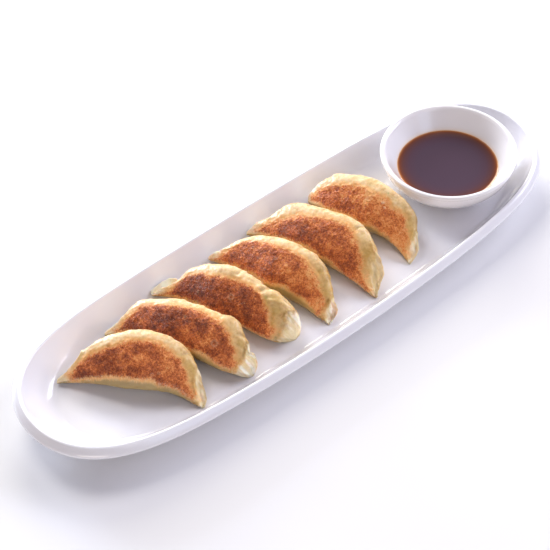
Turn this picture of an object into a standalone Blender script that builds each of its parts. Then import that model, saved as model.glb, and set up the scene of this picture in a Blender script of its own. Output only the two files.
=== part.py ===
"""Long oval boat plate with a row of pan-fried dumplings and a small round dipping bowl.

Frame: metres, +Z up, origin at the middle of the plate's foot, +X along the plate
towards the dipping bowl, +Y across the plate, towards the high side of the dumplings.
"""

from math import cos, exp, pi, radians, sin, sqrt

import bmesh
import bpy

MM = 0.001
GAP = 0.3 * MM  # clearance between any two pieces

# ---- plate: rim line (its outer top edge) is a superellipse that narrows to the ends
RIM_HALF_LENGTH = 181.2 * MM
RIM_HALF_WIDTH = 56.5 * MM
RIM_POWER_X = 7.57
RIM_POWER_Y = 2.07
RIM_TAPER = 0.173
RIM_HEIGHT = 16.8 * MM  # at the middle of the long sides
RIM_RISE = 6.2 * MM  # how much higher the two ends stand
RIM_TOP_WIDTH = 2.1 * MM
BAND_OUT = 2.6 * MM  # the rolled outer edge stands out this far below the rim
BAND_OUT_ENDS = 1.0 * MM  # and this much more at the ends
BAND_DROP = 4.3 * MM
FLOOR_HEIGHT = 5.2 * MM
WALL_RUN = 12.5 * MM  # plan width of the concave inner wall
WALL_RUN_ENDS = 9.0 * MM  # extra plan width of that wall at the two ends
FOOT_INSET = 15.0 * MM
FOOT_INSET_ENDS = 12.0 * MM
FOOT_HEIGHT = 1.6 * MM
PLATE_SEGMENTS = 80

# ---- dipping bowl
BOWL_X = 123.8 * MM
BOWL_Y = 0.2 * MM
BOWL_RADIUS = 41.85 * MM
BOWL_TOP = 30.75 * MM
BOWL_LIP = 2.7 * MM
BOWL_FOOT_RADIUS = 19.5 * MM
BOWL_FOOT_HEIGHT = 2.2 * MM
BOWL_SEGMENTS = 40
SAUCE_TOP = 18.35 * MM
SAUCE_RADIUS = 30.5 * MM
BOWL_WELL_RADIUS = 17.0 * MM  # flat bottom inside
BOWL_WELL_HEIGHT = 10.2 * MM

# ---- dumplings: sizes in mm and degrees. Each lies browned side up with its two pinched
# ends on the plate: the left end (low X, high Y) and the right end (low Y).
# bow: how far the seam line bows out between the ends; half_width, depth: of the filled
# body, depth measured square to the browned face; tilt: of that face towards -Y/-X;
# blunt_*: how full the body stays towards each end; flap_*: width of the pinched seam;
# corner: a swelling of the high side near the right end; lobe: one more, at (where, how much);
# lean: turn of the face from end to end; shoulder: depth of the rounded edge of the face.
DUMPLINGS = {
    "gyoza_1": dict(left=(-150.1, 25.4), right=(-98.7, -40.6), bow=21.3, skew=-0.24, half_width=16.5, depth=22.8, tilt=26.5, blunt_left=(2.1, 1.10), blunt_right=(2.9, 0.96), flap_left=3.2, flap=4.7, flap_right=5.1, corner=0.07, lobe=(0.30, 0.00), lean=-3.9, shoulder=7.6),
    "gyoza_2": dict(left=(-110.0, 36.3), right=(-64.4, -41.5), bow=17.3, skew=0.06, half_width=14.4, depth=22.8, tilt=26.8, blunt_left=(2.2, 1.07), blunt_right=(3.2, 0.47), flap_left=3.4, flap=4.8, flap_right=5.3, corner=0.26, lobe=(0.13, 0.10), lean=3.1, shoulder=7.8),
    "gyoza_3": dict(left=(-71.9, 43.0), right=(-29.8, -36.7), bow=15.2, skew=0.04, half_width=15.0, depth=22.7, tilt=31.1, blunt_left=(1.7, 1.19), blunt_right=(2.9, 0.25), flap_left=3.4, flap=4.7, flap_right=6.2, corner=-0.08, lobe=(0.17, 0.34), lean=1.3, shoulder=7.3),
    "gyoza_4": dict(left=(-29.5, 44.0), right=(-7.6, -40.8), bow=19.1, skew=-0.08, half_width=15.7, depth=21.7, tilt=29.1, blunt_left=(1.5, 0.78), blunt_right=(3.1, 0.91), flap_left=3.3, flap=5.1, flap_right=5.9, corner=0.07, lobe=(0.30, 0.00), lean=1.8, shoulder=7.7),
    "gyoza_5": dict(left=(0.6, 44.7), right=(25.9, -43.3), bow=21.4, skew=-0.15, half_width=15.5, depth=22.5, tilt=27.5, blunt_left=(2.2, 0.97), blunt_right=(2.9, 0.78), flap_left=3.3, flap=4.8, flap_right=7.4, corner=0.05, lobe=(0.37, 0.27), lean=1.0, shoulder=7.7),
    "gyoza_6": dict(left=(46.2, 41.9), right=(59.0, -36.7), bow=19.3, skew=-0.24, half_width=16.3, depth=23.2, tilt=27.2, blunt_left=(2.6, 0.55), blunt_right=(2.1, 0.93), flap_left=3.2, flap=4.8, flap_right=5.1, corner=0.06, lobe=(0.24, 0.06), lean=-3.6, shoulder=7.4),
}
FACE_POWER = 2.7  # roundness of the shoulder round the browned face
BELLY_POWER = 1.7  # roundness of the underside, which narrows to the seam
FLAP_THICKNESS = 1.3 * MM
END_HALF_WIDTH = 1.0 * MM
END_DEPTH = 1.6 * MM
END_RISE = 1.2 * MM  # the left ends ride up a little on the foot of the plate's wall
PLEATS = 8  # folds along the seam
PLEAT_DEPTH = 0.9 * MM
DUMPLING_STATIONS = 28
BODY_POINTS = 13


def clear_scene():
    for obj in list(bpy.data.objects):
        bpy.data.objects.remove(obj, do_unlink=True)


def material(name, colour, roughness, metallic=0.0):
    made = bpy.data.materials.new(name)
    made.use_nodes = True
    shader = made.node_tree.nodes["Principled BSDF"]
    shader.inputs["Base Color"].default_value = (*colour, 1.0)
    shader.inputs["Roughness"].default_value = roughness
    shader.inputs["Metallic"].default_value = metallic
    return made


def lofted(name, rings, made_of, smooth_angle=50.0):
    """One closed body from equal closed rings, capped at both ends."""
    shape = bmesh.new()
    rows = [[shape.verts.new(point) for point in ring] for ring in rings]
    for lower, upper in zip(rows[:-1], rows[1:]):
        count = len(lower)
        for i in range(count):
            j = (i + 1) % count
            shape.faces.new((lower[i], lower[j], upper[j], upper[i]))
    shape.faces.new(list(reversed(rows[0])))
    shape.faces.new(rows[-1])
    bmesh.ops.recalc_face_normals(shape, faces=shape.faces)
    if shape.calc_volume(signed=True) < 0:
        bmesh.ops.reverse_faces(shape, faces=shape.faces)
    mesh = bpy.data.meshes.new(name)
    shape.to_mesh(mesh)
    shape.free()
    mesh.materials.append(made_of)
    mesh.shade_smooth()
    mesh.set_sharp_from_angle(angle=radians(smooth_angle))
    obj = bpy.data.objects.new(name, mesh)
    bpy.context.scene.collection.objects.link(obj)
    return obj


# ------------------------------------------------------------------ plate
def signed_power(value, power):
    return (1 if value >= 0 else -1) * abs(value) ** power


def rim_line(inset, angle):
    """Point of the plate's oval, moved in from the rim line by inset (negative: out)."""
    a = RIM_HALF_LENGTH - inset
    b = RIM_HALF_WIDTH - inset
    x = a * signed_power(cos(angle), 2 / RIM_POWER_X)
    y = b * signed_power(sin(angle), 2 / RIM_POWER_Y)
    y *= 1 - RIM_TAPER * (x / a) ** 2
    return x, y


def plate_angles():
    """Angles that space the points of the rim line evenly along it."""
    fine = 2400
    line = [rim_line(0.0, 2 * pi * (k + 0.5) / fine) for k in range(fine)]
    length = [0.0]
    for k in range(fine):
        here, after = line[k], line[(k + 1) % fine]
        length.append(length[-1] + sqrt((here[0] - after[0]) ** 2 + (here[1] - after[1]) ** 2))
    angles, k = [], 0
    for i in range(PLATE_SEGMENTS):
        target = length[-1] * i / PLATE_SEGMENTS
        while length[k + 1] < target:
            k += 1
        angles.append(2 * pi * (k + 0.5) / fine)
    return angles


def plate_profile(end):
    """(inset, height) from the foot, up the outside and down to the floor.
    end: 0 at the middle of the long sides, 1 at the two ends."""
    rim = RIM_HEIGHT + RIM_RISE * end
    foot = FOOT_INSET + FOOT_INSET_ENDS * end
    out = BAND_OUT + BAND_OUT_ENDS * end**2
    run = WALL_RUN + WALL_RUN_ENDS * end**3
    band = rim - BAND_DROP
    steps = [(foot, 0.0), (foot - 0.6 * MM, FOOT_HEIGHT)]
    for k in range(1, 4):  # underside of the wall, bowing outwards
        t = k / 4
        steps.append((foot - 0.6 * MM - (foot + out - 2.2 * MM) * t, FOOT_HEIGHT + (band - 2.6 * MM - FOOT_HEIGHT) * t**1.5))
    steps.append((-out + 0.9 * MM, band - 1.6 * MM))
    steps.append((-out, band))
    steps.append((-0.55 * out, band + 0.55 * BAND_DROP))
    steps.append((0.0, rim - 0.25 * MM))
    steps.append((0.5 * RIM_TOP_WIDTH, rim))
    steps.append((RIM_TOP_WIDTH, rim - 0.3 * MM))
    for k in range(1, 8):  # concave inner wall
        t = k / 7
        steps.append((RIM_TOP_WIDTH + (run - RIM_TOP_WIDTH) * (1 - cos(t * pi / 2)) ** 0.62, FLOOR_HEIGHT + (rim - 0.3 * MM - FLOOR_HEIGHT) * (1 - sin(t * pi / 2)) ** 0.94))
    return steps


def make_plate(porcelain):
    angles = plate_angles()
    ends = []
    for angle in angles:
        x, _ = rim_line(0.0, angle)
        ends.append((x / RIM_HALF_LENGTH) ** 2)
    profiles = [plate_profile(end) for end in ends]
    rings = []
    for step in range(len(profiles[0])):
        ring = []
        for angle, profile in zip(angles, profiles):
            inset, height = profile[step]
            x, y = rim_line(inset, angle)
            ring.append((x, y, height))
        rings.append(ring)
    return lofted("plate", rings, porcelain)


# ------------------------------------------------------------------ dipping bowl
def bowl_outside():
    """(radius, height) up the outside, from the foot to the rim."""
    low = FLOOR_HEIGHT + GAP
    steps = [(BOWL_FOOT_RADIUS - 0.5 * MM, low), (BOWL_FOOT_RADIUS, low + 0.6 * MM), (BOWL_FOOT_RADIUS + 0.1 * MM, low + BOWL_FOOT_HEIGHT)]
    wall_top = BOWL_TOP - BOWL_LIP
    for k in range(1, 8):
        t = k / 7 * pi / 2
        steps.append((BOWL_FOOT_RADIUS + (BOWL_RADIUS - 0.7 * MM - BOWL_FOOT_RADIUS) * sin(t), low + BOWL_FOOT_HEIGHT + (wall_top - low - BOWL_FOOT_HEIGHT) * (1 - cos(t)) ** 0.78))
    steps += [(BOWL_RADIUS, wall_top + 0.5 * MM), (BOWL_RADIUS, BOWL_TOP - 0.9 * MM), (BOWL_RADIUS - 0.9 * MM, BOWL_TOP)]
    return steps


def bowl_inside_radius(height):
    """Inner radius of the bowl: a flat well, a curved corner and an open, nearly straight wall."""
    slope = (BOWL_RADIUS - BOWL_LIP - SAUCE_RADIUS - GAP) / (BOWL_TOP - SAUCE_TOP)
    if height >= SAUCE_TOP:
        return SAUCE_RADIUS + GAP + slope * (height - SAUCE_TOP)
    t = (SAUCE_TOP - height) / (SAUCE_TOP - BOWL_WELL_HEIGHT)
    wide = SAUCE_RADIUS + GAP - slope * 0.6 * (SAUCE_TOP - height)
    return BOWL_WELL_RADIUS + (wide - BOWL_WELL_RADIUS) * sqrt(max(0.0, 1 - t**2.4))


def bowl_inside():
    """(radius, height) down the inside, from the rim to the well."""
    steps = [(BOWL_RADIUS - BOWL_LIP + 0.9 * MM, BOWL_TOP)]
    for k in range(1, 5):
        height = BOWL_TOP - 0.8 * MM - (BOWL_TOP - 0.8 * MM - SAUCE_TOP) * (k - 1) / 3
        steps.append((bowl_inside_radius(height), height))
    for k in range(1, 6):
        height = SAUCE_TOP - (SAUCE_TOP - BOWL_WELL_HEIGHT) * sin(k / 5 * pi / 2)
        steps.append((bowl_inside_radius(height), height))
    return steps


def turned(name, steps, made_of, segments=BOWL_SEGMENTS):
    rings = []
    for radius, height in steps:
        rings.append([(BOWL_X + radius * cos(2 * pi * i / segments), BOWL_Y + radius * sin(2 * pi * i / segments), height) for i in range(segments)])
    return lofted(name, rings, made_of, 40.0)


def make_bowl(porcelain):
    return turned("sauce_bowl", bowl_outside() + bowl_inside(), porcelain)


def make_sauce(liquid):
    steps = []
    bottom = BOWL_WELL_HEIGHT + GAP
    for k in range(6):
        height = bottom + (SAUCE_TOP - bottom) * (1 - cos(k / 5 * pi / 2))
        if k == 0:
            steps.append((BOWL_WELL_RADIUS - GAP, height))
        elif k < 5:
            steps.append((bowl_inside_radius(height - 0.2 * MM) - 1.6 * GAP, height))
        else:
            steps.append((SAUCE_RADIUS, SAUCE_TOP))
    return turned("soy_sauce", steps, liquid)


# ------------------------------------------------------------------ dumplings
def dumpling_rings(size, stations, body_points, lift):
    """Cross-sections of one dumpling from its left end to its right end. Each section
    is a filled body, flat on its browned top, over a thin seam flap lying on the plate."""
    ax, ay = (v * MM for v in size["left"])
    bx, by = (v * MM for v in size["right"])
    length = sqrt((bx - ax) ** 2 + (by - ay) ** 2)
    ux, uy = (bx - ax) / length, (by - ay) / length
    bow = size["bow"] * MM

    def ground(t):
        skewed = t + size["skew"] * t * (1 - t)
        out = bow * (1 - abs(2 * skewed - 1) ** 2.2)
        return ax + ux * length * t - uy * out, ay + uy * length * t + ux * out

    rings = []
    for i in range(stations):
        t = i / (stations - 1)
        t = 0.4 * (0.5 - 0.5 * cos(pi * t)) + 0.6 * t
        x, y = ground(t)
        x0, y0 = ground(max(t - 0.01, 0.0))
        x1, y1 = ground(min(t + 0.01, 1.0))
        step = sqrt((x1 - x0) ** 2 + (y1 - y0) ** 2)
        nx, ny = -(y1 - y0) / step, (x1 - x0) / step
        left, right = max(1 - 2 * t, 0.0), max(2 * t - 1, 0.0)
        full = max(1 - left ** size["blunt_left"][0], 0.0) ** size["blunt_left"][1]
        full *= max(1 - right ** size["blunt_right"][0], 0.0) ** size["blunt_right"][1]
        half = END_HALF_WIDTH + (size["half_width"] * MM - END_HALF_WIDTH) * full
        depth = END_DEPTH + (size["depth"] * MM - END_DEPTH) * full
        shoulder = 0.75 * MM + (size["shoulder"] * MM - 0.75 * MM) * full
        tilt = radians(size["tilt"]) * (0.5 + 0.5 * full) + radians(size["lean"]) * (right - left) * full
        flap = size["flap"] + (size["flap_left"] - size["flap"]) * left**2 + (size["flap_right"] - size["flap"]) * right**2
        flap *= MM * max(1 - left**14, 0.0) ** 0.5 * max(1 - right**14, 0.0) ** 0.5
        pleat = sin(2 * pi * PLEATS * t) * full
        flap += 0.25 * MM + PLEAT_DEPTH * pleat
        lobe_at, lobe = size["lobe"]
        corner = 1 + size["corner"] * exp(-(((t - 0.76) / 0.10) ** 2)) + lobe * exp(-(((t - lobe_at) / 0.055) ** 2))
        section = []
        for k in range(body_points):
            turn = -pi / 2 + 0.28 + (2 * pi - 0.56) * k / (body_points - 1)
            c, s = cos(turn), sin(turn)
            power = 2 / (FACE_POWER if s >= 0 else BELLY_POWER)
            across, up = signed_power(c, power), signed_power(s, power)
            wide = half * across * (1 + (corner - 1) * max(c, 0.0))
            if s >= 0:
                high = depth - shoulder + shoulder * up
            else:
                high = (depth - shoulder) * (1 + up)
                if c > 0:  # folds run up the far side from the seam
                    wide += 0.5 * PLEAT_DEPTH * pleat * abs(s)
            section.append([wide * cos(tilt) - high * sin(tilt), wide * sin(tilt) + high * cos(tilt)])
        lowest = min(p[1] for p in section)
        for p in section:
            p[1] -= lowest
        edge = max(section[0][0], 0.0) + flap
        section.append([0.5 * section[-1][0], 0.0])
        section.append([edge, 0.0])
        section.append([edge, FLAP_THICKNESS])
        rise = END_RISE * left**5
        rings.append([(x + nx * n, y + ny * n, lift + rise + z) for n, z in section])
    return rings


def make_dumpling(name, dough):
    rings = dumpling_rings(DUMPLINGS[name], DUMPLING_STATIONS, BODY_POINTS, FLOOR_HEIGHT + GAP)
    return lofted(name, rings, dough, 60.0)


clear_scene()
plate_porcelain = material("plate_porcelain", (0.86, 0.85, 0.88), 0.12)
bowl_porcelain = material("bowl_porcelain", (0.88, 0.87, 0.89), 0.12)
soy = material("soy", (0.035, 0.012, 0.010), 0.05)
dough = material("fried_dough", (0.62, 0.34, 0.13), 0.45)
make_plate(plate_porcelain)
make_bowl(bowl_porcelain)
make_sauce(soy)
for dumpling in DUMPLINGS:
    make_dumpling(dumpling, dough)
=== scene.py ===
"""Looks of the dumpling plate: glazed porcelain, soy sauce and six pan-fried dumplings,
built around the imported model, in its frame (metres, +Z up, +X towards the dipping bowl).

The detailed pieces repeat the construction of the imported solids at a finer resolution
and add what is too small for them: pleats, wrinkles, the blistered crust, the meniscus.
"""

from math import cos, pi, radians, sin, sqrt

import bpy
import numpy as np
from mathutils import Matrix, Vector


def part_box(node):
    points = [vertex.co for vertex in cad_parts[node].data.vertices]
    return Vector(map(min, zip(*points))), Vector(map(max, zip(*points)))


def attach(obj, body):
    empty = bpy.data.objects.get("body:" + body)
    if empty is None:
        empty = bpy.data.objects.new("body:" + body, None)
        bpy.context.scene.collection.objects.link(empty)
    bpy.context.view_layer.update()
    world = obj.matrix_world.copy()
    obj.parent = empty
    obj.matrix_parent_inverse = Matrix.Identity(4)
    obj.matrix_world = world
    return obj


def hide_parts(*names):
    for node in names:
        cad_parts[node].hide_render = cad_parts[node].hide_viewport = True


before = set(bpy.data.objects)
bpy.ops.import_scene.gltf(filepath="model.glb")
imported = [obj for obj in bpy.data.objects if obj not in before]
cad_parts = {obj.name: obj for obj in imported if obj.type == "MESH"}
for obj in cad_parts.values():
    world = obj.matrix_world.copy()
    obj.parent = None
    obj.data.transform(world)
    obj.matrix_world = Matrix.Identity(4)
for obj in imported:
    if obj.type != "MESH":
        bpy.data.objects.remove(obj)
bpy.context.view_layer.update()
MM = 0.001

# ------------------------------------------------------------------ sizes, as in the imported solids
GAP = 0.3 * MM
RIM_HALF_LENGTH = 181.2 * MM
RIM_HALF_WIDTH = 56.5 * MM
RIM_POWER_X = 7.57
RIM_POWER_Y = 2.07
RIM_TAPER = 0.173
RIM_HEIGHT = 16.8 * MM
RIM_RISE = 6.2 * MM
RIM_TOP_WIDTH = 2.1 * MM
BAND_OUT = 2.6 * MM
BAND_OUT_ENDS = 1.0 * MM
BAND_DROP = 4.3 * MM
FLOOR_HEIGHT = 5.2 * MM
WALL_RUN = 12.5 * MM
WALL_RUN_ENDS = 9.0 * MM
FOOT_INSET = 15.0 * MM
FOOT_INSET_ENDS = 12.0 * MM
FOOT_HEIGHT = 1.6 * MM

bowl_low, bowl_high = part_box("sauce_bowl")
sauce_low, sauce_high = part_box("soy_sauce")
BOWL_X = 0.5 * (bowl_low.x + bowl_high.x)
BOWL_Y = 0.5 * (bowl_low.y + bowl_high.y)
BOWL_RADIUS = 0.5 * (bowl_high.x - bowl_low.x)
BOWL_TOP = bowl_high.z
BOWL_LIP = 2.7 * MM
BOWL_FOOT_RADIUS = 19.5 * MM
BOWL_FOOT_HEIGHT = 2.2 * MM
SAUCE_TOP = sauce_high.z
SAUCE_RADIUS = 30.5 * MM
BOWL_WELL_RADIUS = 17.0 * MM
BOWL_WELL_HEIGHT = 10.2 * MM

# Sizes in mm and degrees, as in the imported solids. far, near: the browned patch's two long
# edges, as (place along the dumpling, place across its face: 1 far shoulder, -1 near one).
# crease: where the body ends and the pinched fan of the right tip begins. fan: (how far it
# lies below the body, over what width, and where that begins and stops to fade out), in mm.
# flank: how much more its far side sinks. bulge: how the far outline swells or draws in, as
# (along, share of the half width). tab: a wide flat lap of the seam, as (along, out, up) in mm.
# pressed: over what length the end is pressed flat, and dish how far it
# is hollowed. brim: where the outer edge of the fan runs, as (along, out, up). rim: how brown
# that edge is, how wide in mm and from where to where along. shade: how dark the painted shade in the crease is. cream:
# how white the
# fan is. folds: (from along, across, to along, across, height, width); their grooves get painted shade. tone: how dark
# the crust is. patches: (along, across, radius in mm, darker or lighter). spots: (along, across, radius in mm, kind).
DUMPLINGS = {
    "gyoza_1": dict(
        left=(-150.1, 25.4), right=(-98.7, -40.6), bow=21.3, skew=-0.24, half_width=16.5, depth=22.8, tilt=26.5, blunt_left=(2.1, 1.10), blunt_right=(2.9, 0.96), flap_left=3.2, flap=4.7, flap_right=5.1, corner=0.07, lobe=(0.30, 0.00), lean=-3.9, shoulder=7.6,
        bulge=((0.0, -0.15), (0.04, -0.25), (0.08, -0.28), (0.12, -0.10), (0.16, 0.06), (0.20, 0.04), (0.33, 0.0), (0.40, -0.05), (0.50, 0.0), (0.60, 0.01), (0.70, 0.0)),
        far=((0.06, 0.05), (0.10, 0.24), (0.15, 0.36), (0.20, 0.43), (0.30, 0.36), (0.35, 0.38), (0.40, 0.47), (0.45, 0.54), (0.52, 0.48), (0.62, 0.57), (0.70, 0.50), (0.80, 0.42), (0.86, 0.30), (0.91, 0.12), (0.955, -0.15)),
        near=((0.06, -0.76), (0.15, -0.76), (0.22, -0.68), (0.30, -0.63), (0.45, -0.64), (0.55, -0.70), (0.66, -0.64), (0.72, -0.64), (0.80, -0.74), (0.88, -0.66), (0.955, -0.55)),
        crease=((0.862, 1.00), (0.869, 0.80), (0.915, 0.35), (0.945, 0.05), (0.968, -0.45), (0.985, -0.80)), fan=(0.0, 1.6, 9.0, 14.0), brim=((0.880, 6.8, 10.8), (0.900, 5.8, 9.5), (0.93, 5.0, 7.0), (0.955, 4.5, 4.5), (0.98, 3.6, 2.4), (1.00, 1.4, 1.4)), pressed=5.0, dish=1.2, rim=(0.4, 0.7, 0.90, 0.98), flank=0.0, shade=0.8, cream=0.62,
        folds=((0.865, 0.95, 0.925, 0.25, 0.45, 0.7), (0.925, 0.25, 0.955, 0.05, 0.40, 0.6), (0.895, 0.98, 0.955, 0.45, 0.35, 0.8), (0.12, 0.62, 0.17, 1.00, 0.55, 1.0), (0.80, 0.60, 0.815, 1.00, -0.35, 0.9), (0.70, 0.62, 0.71, 1.00, -0.30, 1.1), (0.52, 0.70, 0.53, 1.00, -0.25, 1.0)),
        tone=-0.02, patches=((0.39, -0.28, 4.0, 0.14), (0.63, 0.19, 4.0, -0.10), (0.667, -0.21, 4.0, -0.12), (0.13, -0.35, 5.0, -0.16), (0.64, -0.10, 6.0, 0.20), (0.74, -0.45, 4.0, -0.14), (0.45, -0.25, 7.0, -0.06), (0.35, 0.05, 6.0, 0.05)),
        spots=((0.32, 0.44, 1.5, "amber"), (0.71, -0.42, 0.7, "ring"), (0.76, -0.30, 0.6, "ring"), (0.87, 0.72, 2.6, "olive"), (0.93, 0.55, 2.2, "olive"), (0.16, 0.80, 2.0, "olive")),
    ),
    "gyoza_2": dict(
        left=(-110.0, 36.3), right=(-64.4, -41.5), bow=17.3, skew=0.06, half_width=14.4, depth=22.8, tilt=26.8, blunt_left=(2.2, 1.07), blunt_right=(3.2, 0.47), flap_left=3.4, flap=4.8, flap_right=5.3, corner=0.26, lobe=(0.13, 0.10), lean=3.1, shoulder=7.8,
        bulge=((0.0, -0.30), (0.04, -0.30), (0.08, -0.12), (0.12, 0.02), (0.16, 0.20), (0.20, 0.31), (0.24, 0.19), (0.28, 0.07), (0.33, 0.0), (0.60, -0.02), (0.70, -0.16), (0.78, 0.0)),
        far=((0.04, -0.15), (0.10, 0.28), (0.15, 0.50), (0.20, 0.66), (0.25, 0.66), (0.34, 0.56), (0.40, 0.56), (0.50, 0.63), (0.60, 0.70), (0.70, 0.69), (0.76, 0.58), (0.85, 0.38), (0.90, 0.17), (0.95, -0.12)),
        near=((0.04, -0.70), (0.30, -0.70), (0.50, -0.68), (0.60, -0.73), (0.66, -0.77), (0.73, -0.72), (0.80, -0.67), (0.86, -0.74), (0.95, -0.84)),
        crease=((0.900, 1.00), (0.922, 0.85), (0.945, 0.40), (0.955, 0.00), (0.960, -0.35), (0.957, -0.80)), fan=(0.6, 1.9, 3.6, 6.4), brim=((0.93, 3.0, 15.0), (0.945, 2.8, 14.0), (0.96, 4.8, 12.4), (0.975, 4.6, 10.4), (0.985, 4.3, 8.6), (0.993, 3.4, 6.0), (1.00, 1.0, 1.4)), pressed=4.0, dish=1.2, rim=(0.9, 0.35, 0.945, 0.999), flank=0.2, shade=1.0, cream=0.95,
        folds=((0.915, 0.90, 0.950, 0.20, -0.55, 0.9), (0.950, 0.20, 0.960, -0.50, -0.60, 1.0), (0.945, 0.96, 0.960, 0.60, 0.5, 0.7), (0.975, -0.10, 0.985, -0.75, 0.40, 0.7), (0.86, 0.75, 0.875, 1.00, -0.45, 1.1), (0.72, 0.72, 0.73, 1.00, -0.30, 1.1), (0.58, 0.78, 0.585, 1.00, 0.25, 1.2)),
        tone=-0.10, patches=((0.264, 0.07, 5.0, 0.22), (0.49, 0.10, 4.0, -0.14), (0.435, -0.12, 4.0, -0.14), (0.83, -0.24, 4.0, 0.12), (0.16, 0.30, 5.0, 0.16), (0.38, 0.05, 8.0, -0.10), (0.60, 0.10, 4.0, 0.12), (0.88, -0.30, 5.0, -0.08), (0.74, 0.00, 4.5, 0.10)),
        spots=((0.80, -0.05, 1.6, "ring"), (0.52, 0.20, 0.6, "ring"), (0.905, 0.60, 2.6, "olive"), (0.950, -0.10, 2.2, "olive")),
    ),
    "gyoza_3": dict(
        left=(-71.9, 43.0), right=(-29.8, -36.7), bow=15.2, skew=0.04, half_width=15.0, depth=22.7, tilt=31.1, blunt_left=(1.7, 1.19), blunt_right=(2.9, 0.25), flap_left=3.4, flap=4.7, flap_right=6.2, corner=-0.08, lobe=(0.20, 0.30), lean=1.3, shoulder=7.3,
        bulge=((0.0, -0.06), (0.04, -0.24), (0.08, -0.40), (0.12, -0.45), (0.16, -0.42), (0.20, -0.16), (0.24, 0.0), (0.28, 0.12), (0.33, 0.11), (0.40, 0.05), (0.50, 0.05), (0.60, -0.02), (0.70, -0.08), (0.80, 0.0)),
        tab=((0.0, 2.9, 0.3), (0.02, 4.1, 1.2), (0.066, 7.0, 2.2), (0.104, 8.3, 2.7), (0.134, 7.9, 2.6), (0.148, 6.5, 2.0), (0.180, 4.4, 0.0)),
        far=((0.02, -0.70), (0.08, -0.28), (0.11, 0.00), (0.15, 0.36), (0.20, 0.60), (0.25, 0.56), (0.35, 0.38), (0.45, 0.38), (0.60, 0.47), (0.69, 0.52), (0.75, 0.42), (0.80, 0.23), (0.86, 0.06), (0.92, -0.12), (0.95, -0.28)),
        near=((0.02, -0.98), (0.20, -0.98), (0.30, -0.88), (0.45, -0.87), (0.60, -0.89), (0.72, -0.94), (0.80, -0.97), (0.95, -0.96)),
        crease=((0.942, 1.00), (0.938, 0.80), (0.932, 0.60), (0.938, 0.40), (0.957, 0.20), (0.972, -0.10), (0.980, -0.35), (0.988, -0.85)), fan=(-0.7, 0.7, 20.0, 30.0), brim=((0.98, 5.0, 0.0), (1.00, 1.2, 1.2)), pressed=0.0, dish=0.0, rim=(0.0, 1.0, 0.90, 1.0), flank=0.0, shade=0.8, cream=0.88,
        folds=((0.745, 0.55, 0.765, 1.00, -1.00, 1.5), (0.84, 0.40, 0.90, 0.75, 0.55, 1.4), (0.80, 0.15, 0.86, 0.02, -0.40, 1.3), (0.90, 0.05, 0.95, -0.30, -0.45, 1.2), (0.945, 0.62, 0.985, 0.50, -0.55, 0.8), (0.960, 0.28, 0.990, 0.10, 0.50, 0.7), (0.972, 0.02, 0.992, -0.15, -0.50, 0.7), (0.980, -0.25, 0.992, -0.45, 0.45, 0.6), (0.88, 0.92, 0.92, 0.95, -0.45, 0.9), (0.55, 0.70, 0.56, 1.00, -0.30, 1.1)),
        tone=-0.16, patches=((0.607, 0.28, 3.5, 0.10), (0.552, 0.02, 4.0, 0.06), (0.15, -0.10, 5.0, 0.10), (0.50, 0.10, 6.0, 0.06), (0.66, -0.30, 7.0, -0.05), (0.36, -0.10, 6.0, -0.04)),
        spots=((0.58, -0.08, 1.4, "ring"), (0.805, 0.36, 1.3, "green"), (0.30, -0.25, 0.6, "ring"), (0.84, 0.55, 4.0, "olive"), (0.90, 0.25, 3.5, "olive"), (0.93, -0.25, 3.0, "olive")),
    ),
    "gyoza_4": dict(
        left=(-29.5, 44.0), right=(-7.6, -40.8), bow=19.1, skew=-0.08, half_width=15.7, depth=21.7, tilt=29.1, blunt_left=(1.5, 0.78), blunt_right=(3.1, 0.91), flap_left=1.8, flap=5.1, flap_right=5.9, corner=0.07, lobe=(0.30, 0.00), lean=1.8, shoulder=7.7,
        bulge=((0.0, -0.40), (0.04, -0.42), (0.08, -0.40), (0.12, -0.14), (0.16, -0.05), (0.20, -0.04), (0.24, 0.0), (0.28, -0.02), (0.33, -0.07), (0.40, -0.12), (0.50, -0.09), (0.60, -0.05), (0.70, -0.01), (0.80, 0.0)),
        far=((0.015, -0.45), (0.10, 0.20), (0.15, 0.50), (0.20, 0.60), (0.30, 0.50), (0.40, 0.50), (0.50, 0.48), (0.60, 0.51), (0.66, 0.58), (0.75, 0.52), (0.85, 0.40), (0.90, 0.22), (0.955, 0.02)),
        near=((0.015, -0.98), (0.20, -0.98), (0.35, -0.92), (0.50, -0.89), (0.57, -0.83), (0.65, -0.69), (0.71, -0.59), (0.80, -0.63), (0.86, -0.53), (0.955, -0.66)),
        crease=((0.905, 1.00), (0.920, 0.84), (0.938, 0.45), (0.950, 0.05), (0.968, -0.45), (0.980, -0.80)), fan=(0.0, 1.6, 8.0, 12.0), brim=((0.905, 4.0, 9.6), (0.93, 5.8, 7.0), (0.955, 6.2, 4.8), (0.98, 3.5, 2.6), (1.00, 1.0, 1.4)), pressed=5.0, dish=1.0, rim=(1.0, 3.2, 0.930, 0.985), flank=0.0, shade=0.8, cream=0.85,
        folds=((0.925, 0.60, 0.955, -0.20, -0.45, 1.0), (0.905, 0.95, 0.945, 0.60, 0.40, 0.7), (0.850, 0.80, 0.870, 0.55, -0.35, 1.0), (0.795, 0.62, 0.80, 1.00, -0.26, 1.5), (0.70, 0.66, 0.705, 1.00, -0.20, 1.5), (0.745, 0.70, 0.75, 1.00, 0.20, 1.5)),
        tone=0.02, patches=((0.184, 0.02, 4.5, 0.14), (0.879, -0.07, 4.0, 0.06), (0.20, 0.20, 5.0, 0.08), (0.80, 0.20, 6.0, 0.16), (0.86, -0.30, 4.0, -0.20), (0.45, 0.00, 8.0, -0.04), (0.62, -0.30, 5.0, 0.05)),
        spots=((0.50, 0.00, 0.6, "ring"), (0.27, 0.12, 0.6, "ring"), (0.90, 0.60, 1.8, "olive"), (0.80, 0.75, 2.5, "olive"), (0.62, -0.80, 3.0, "olive")),
    ),
    "gyoza_5": dict(
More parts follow.
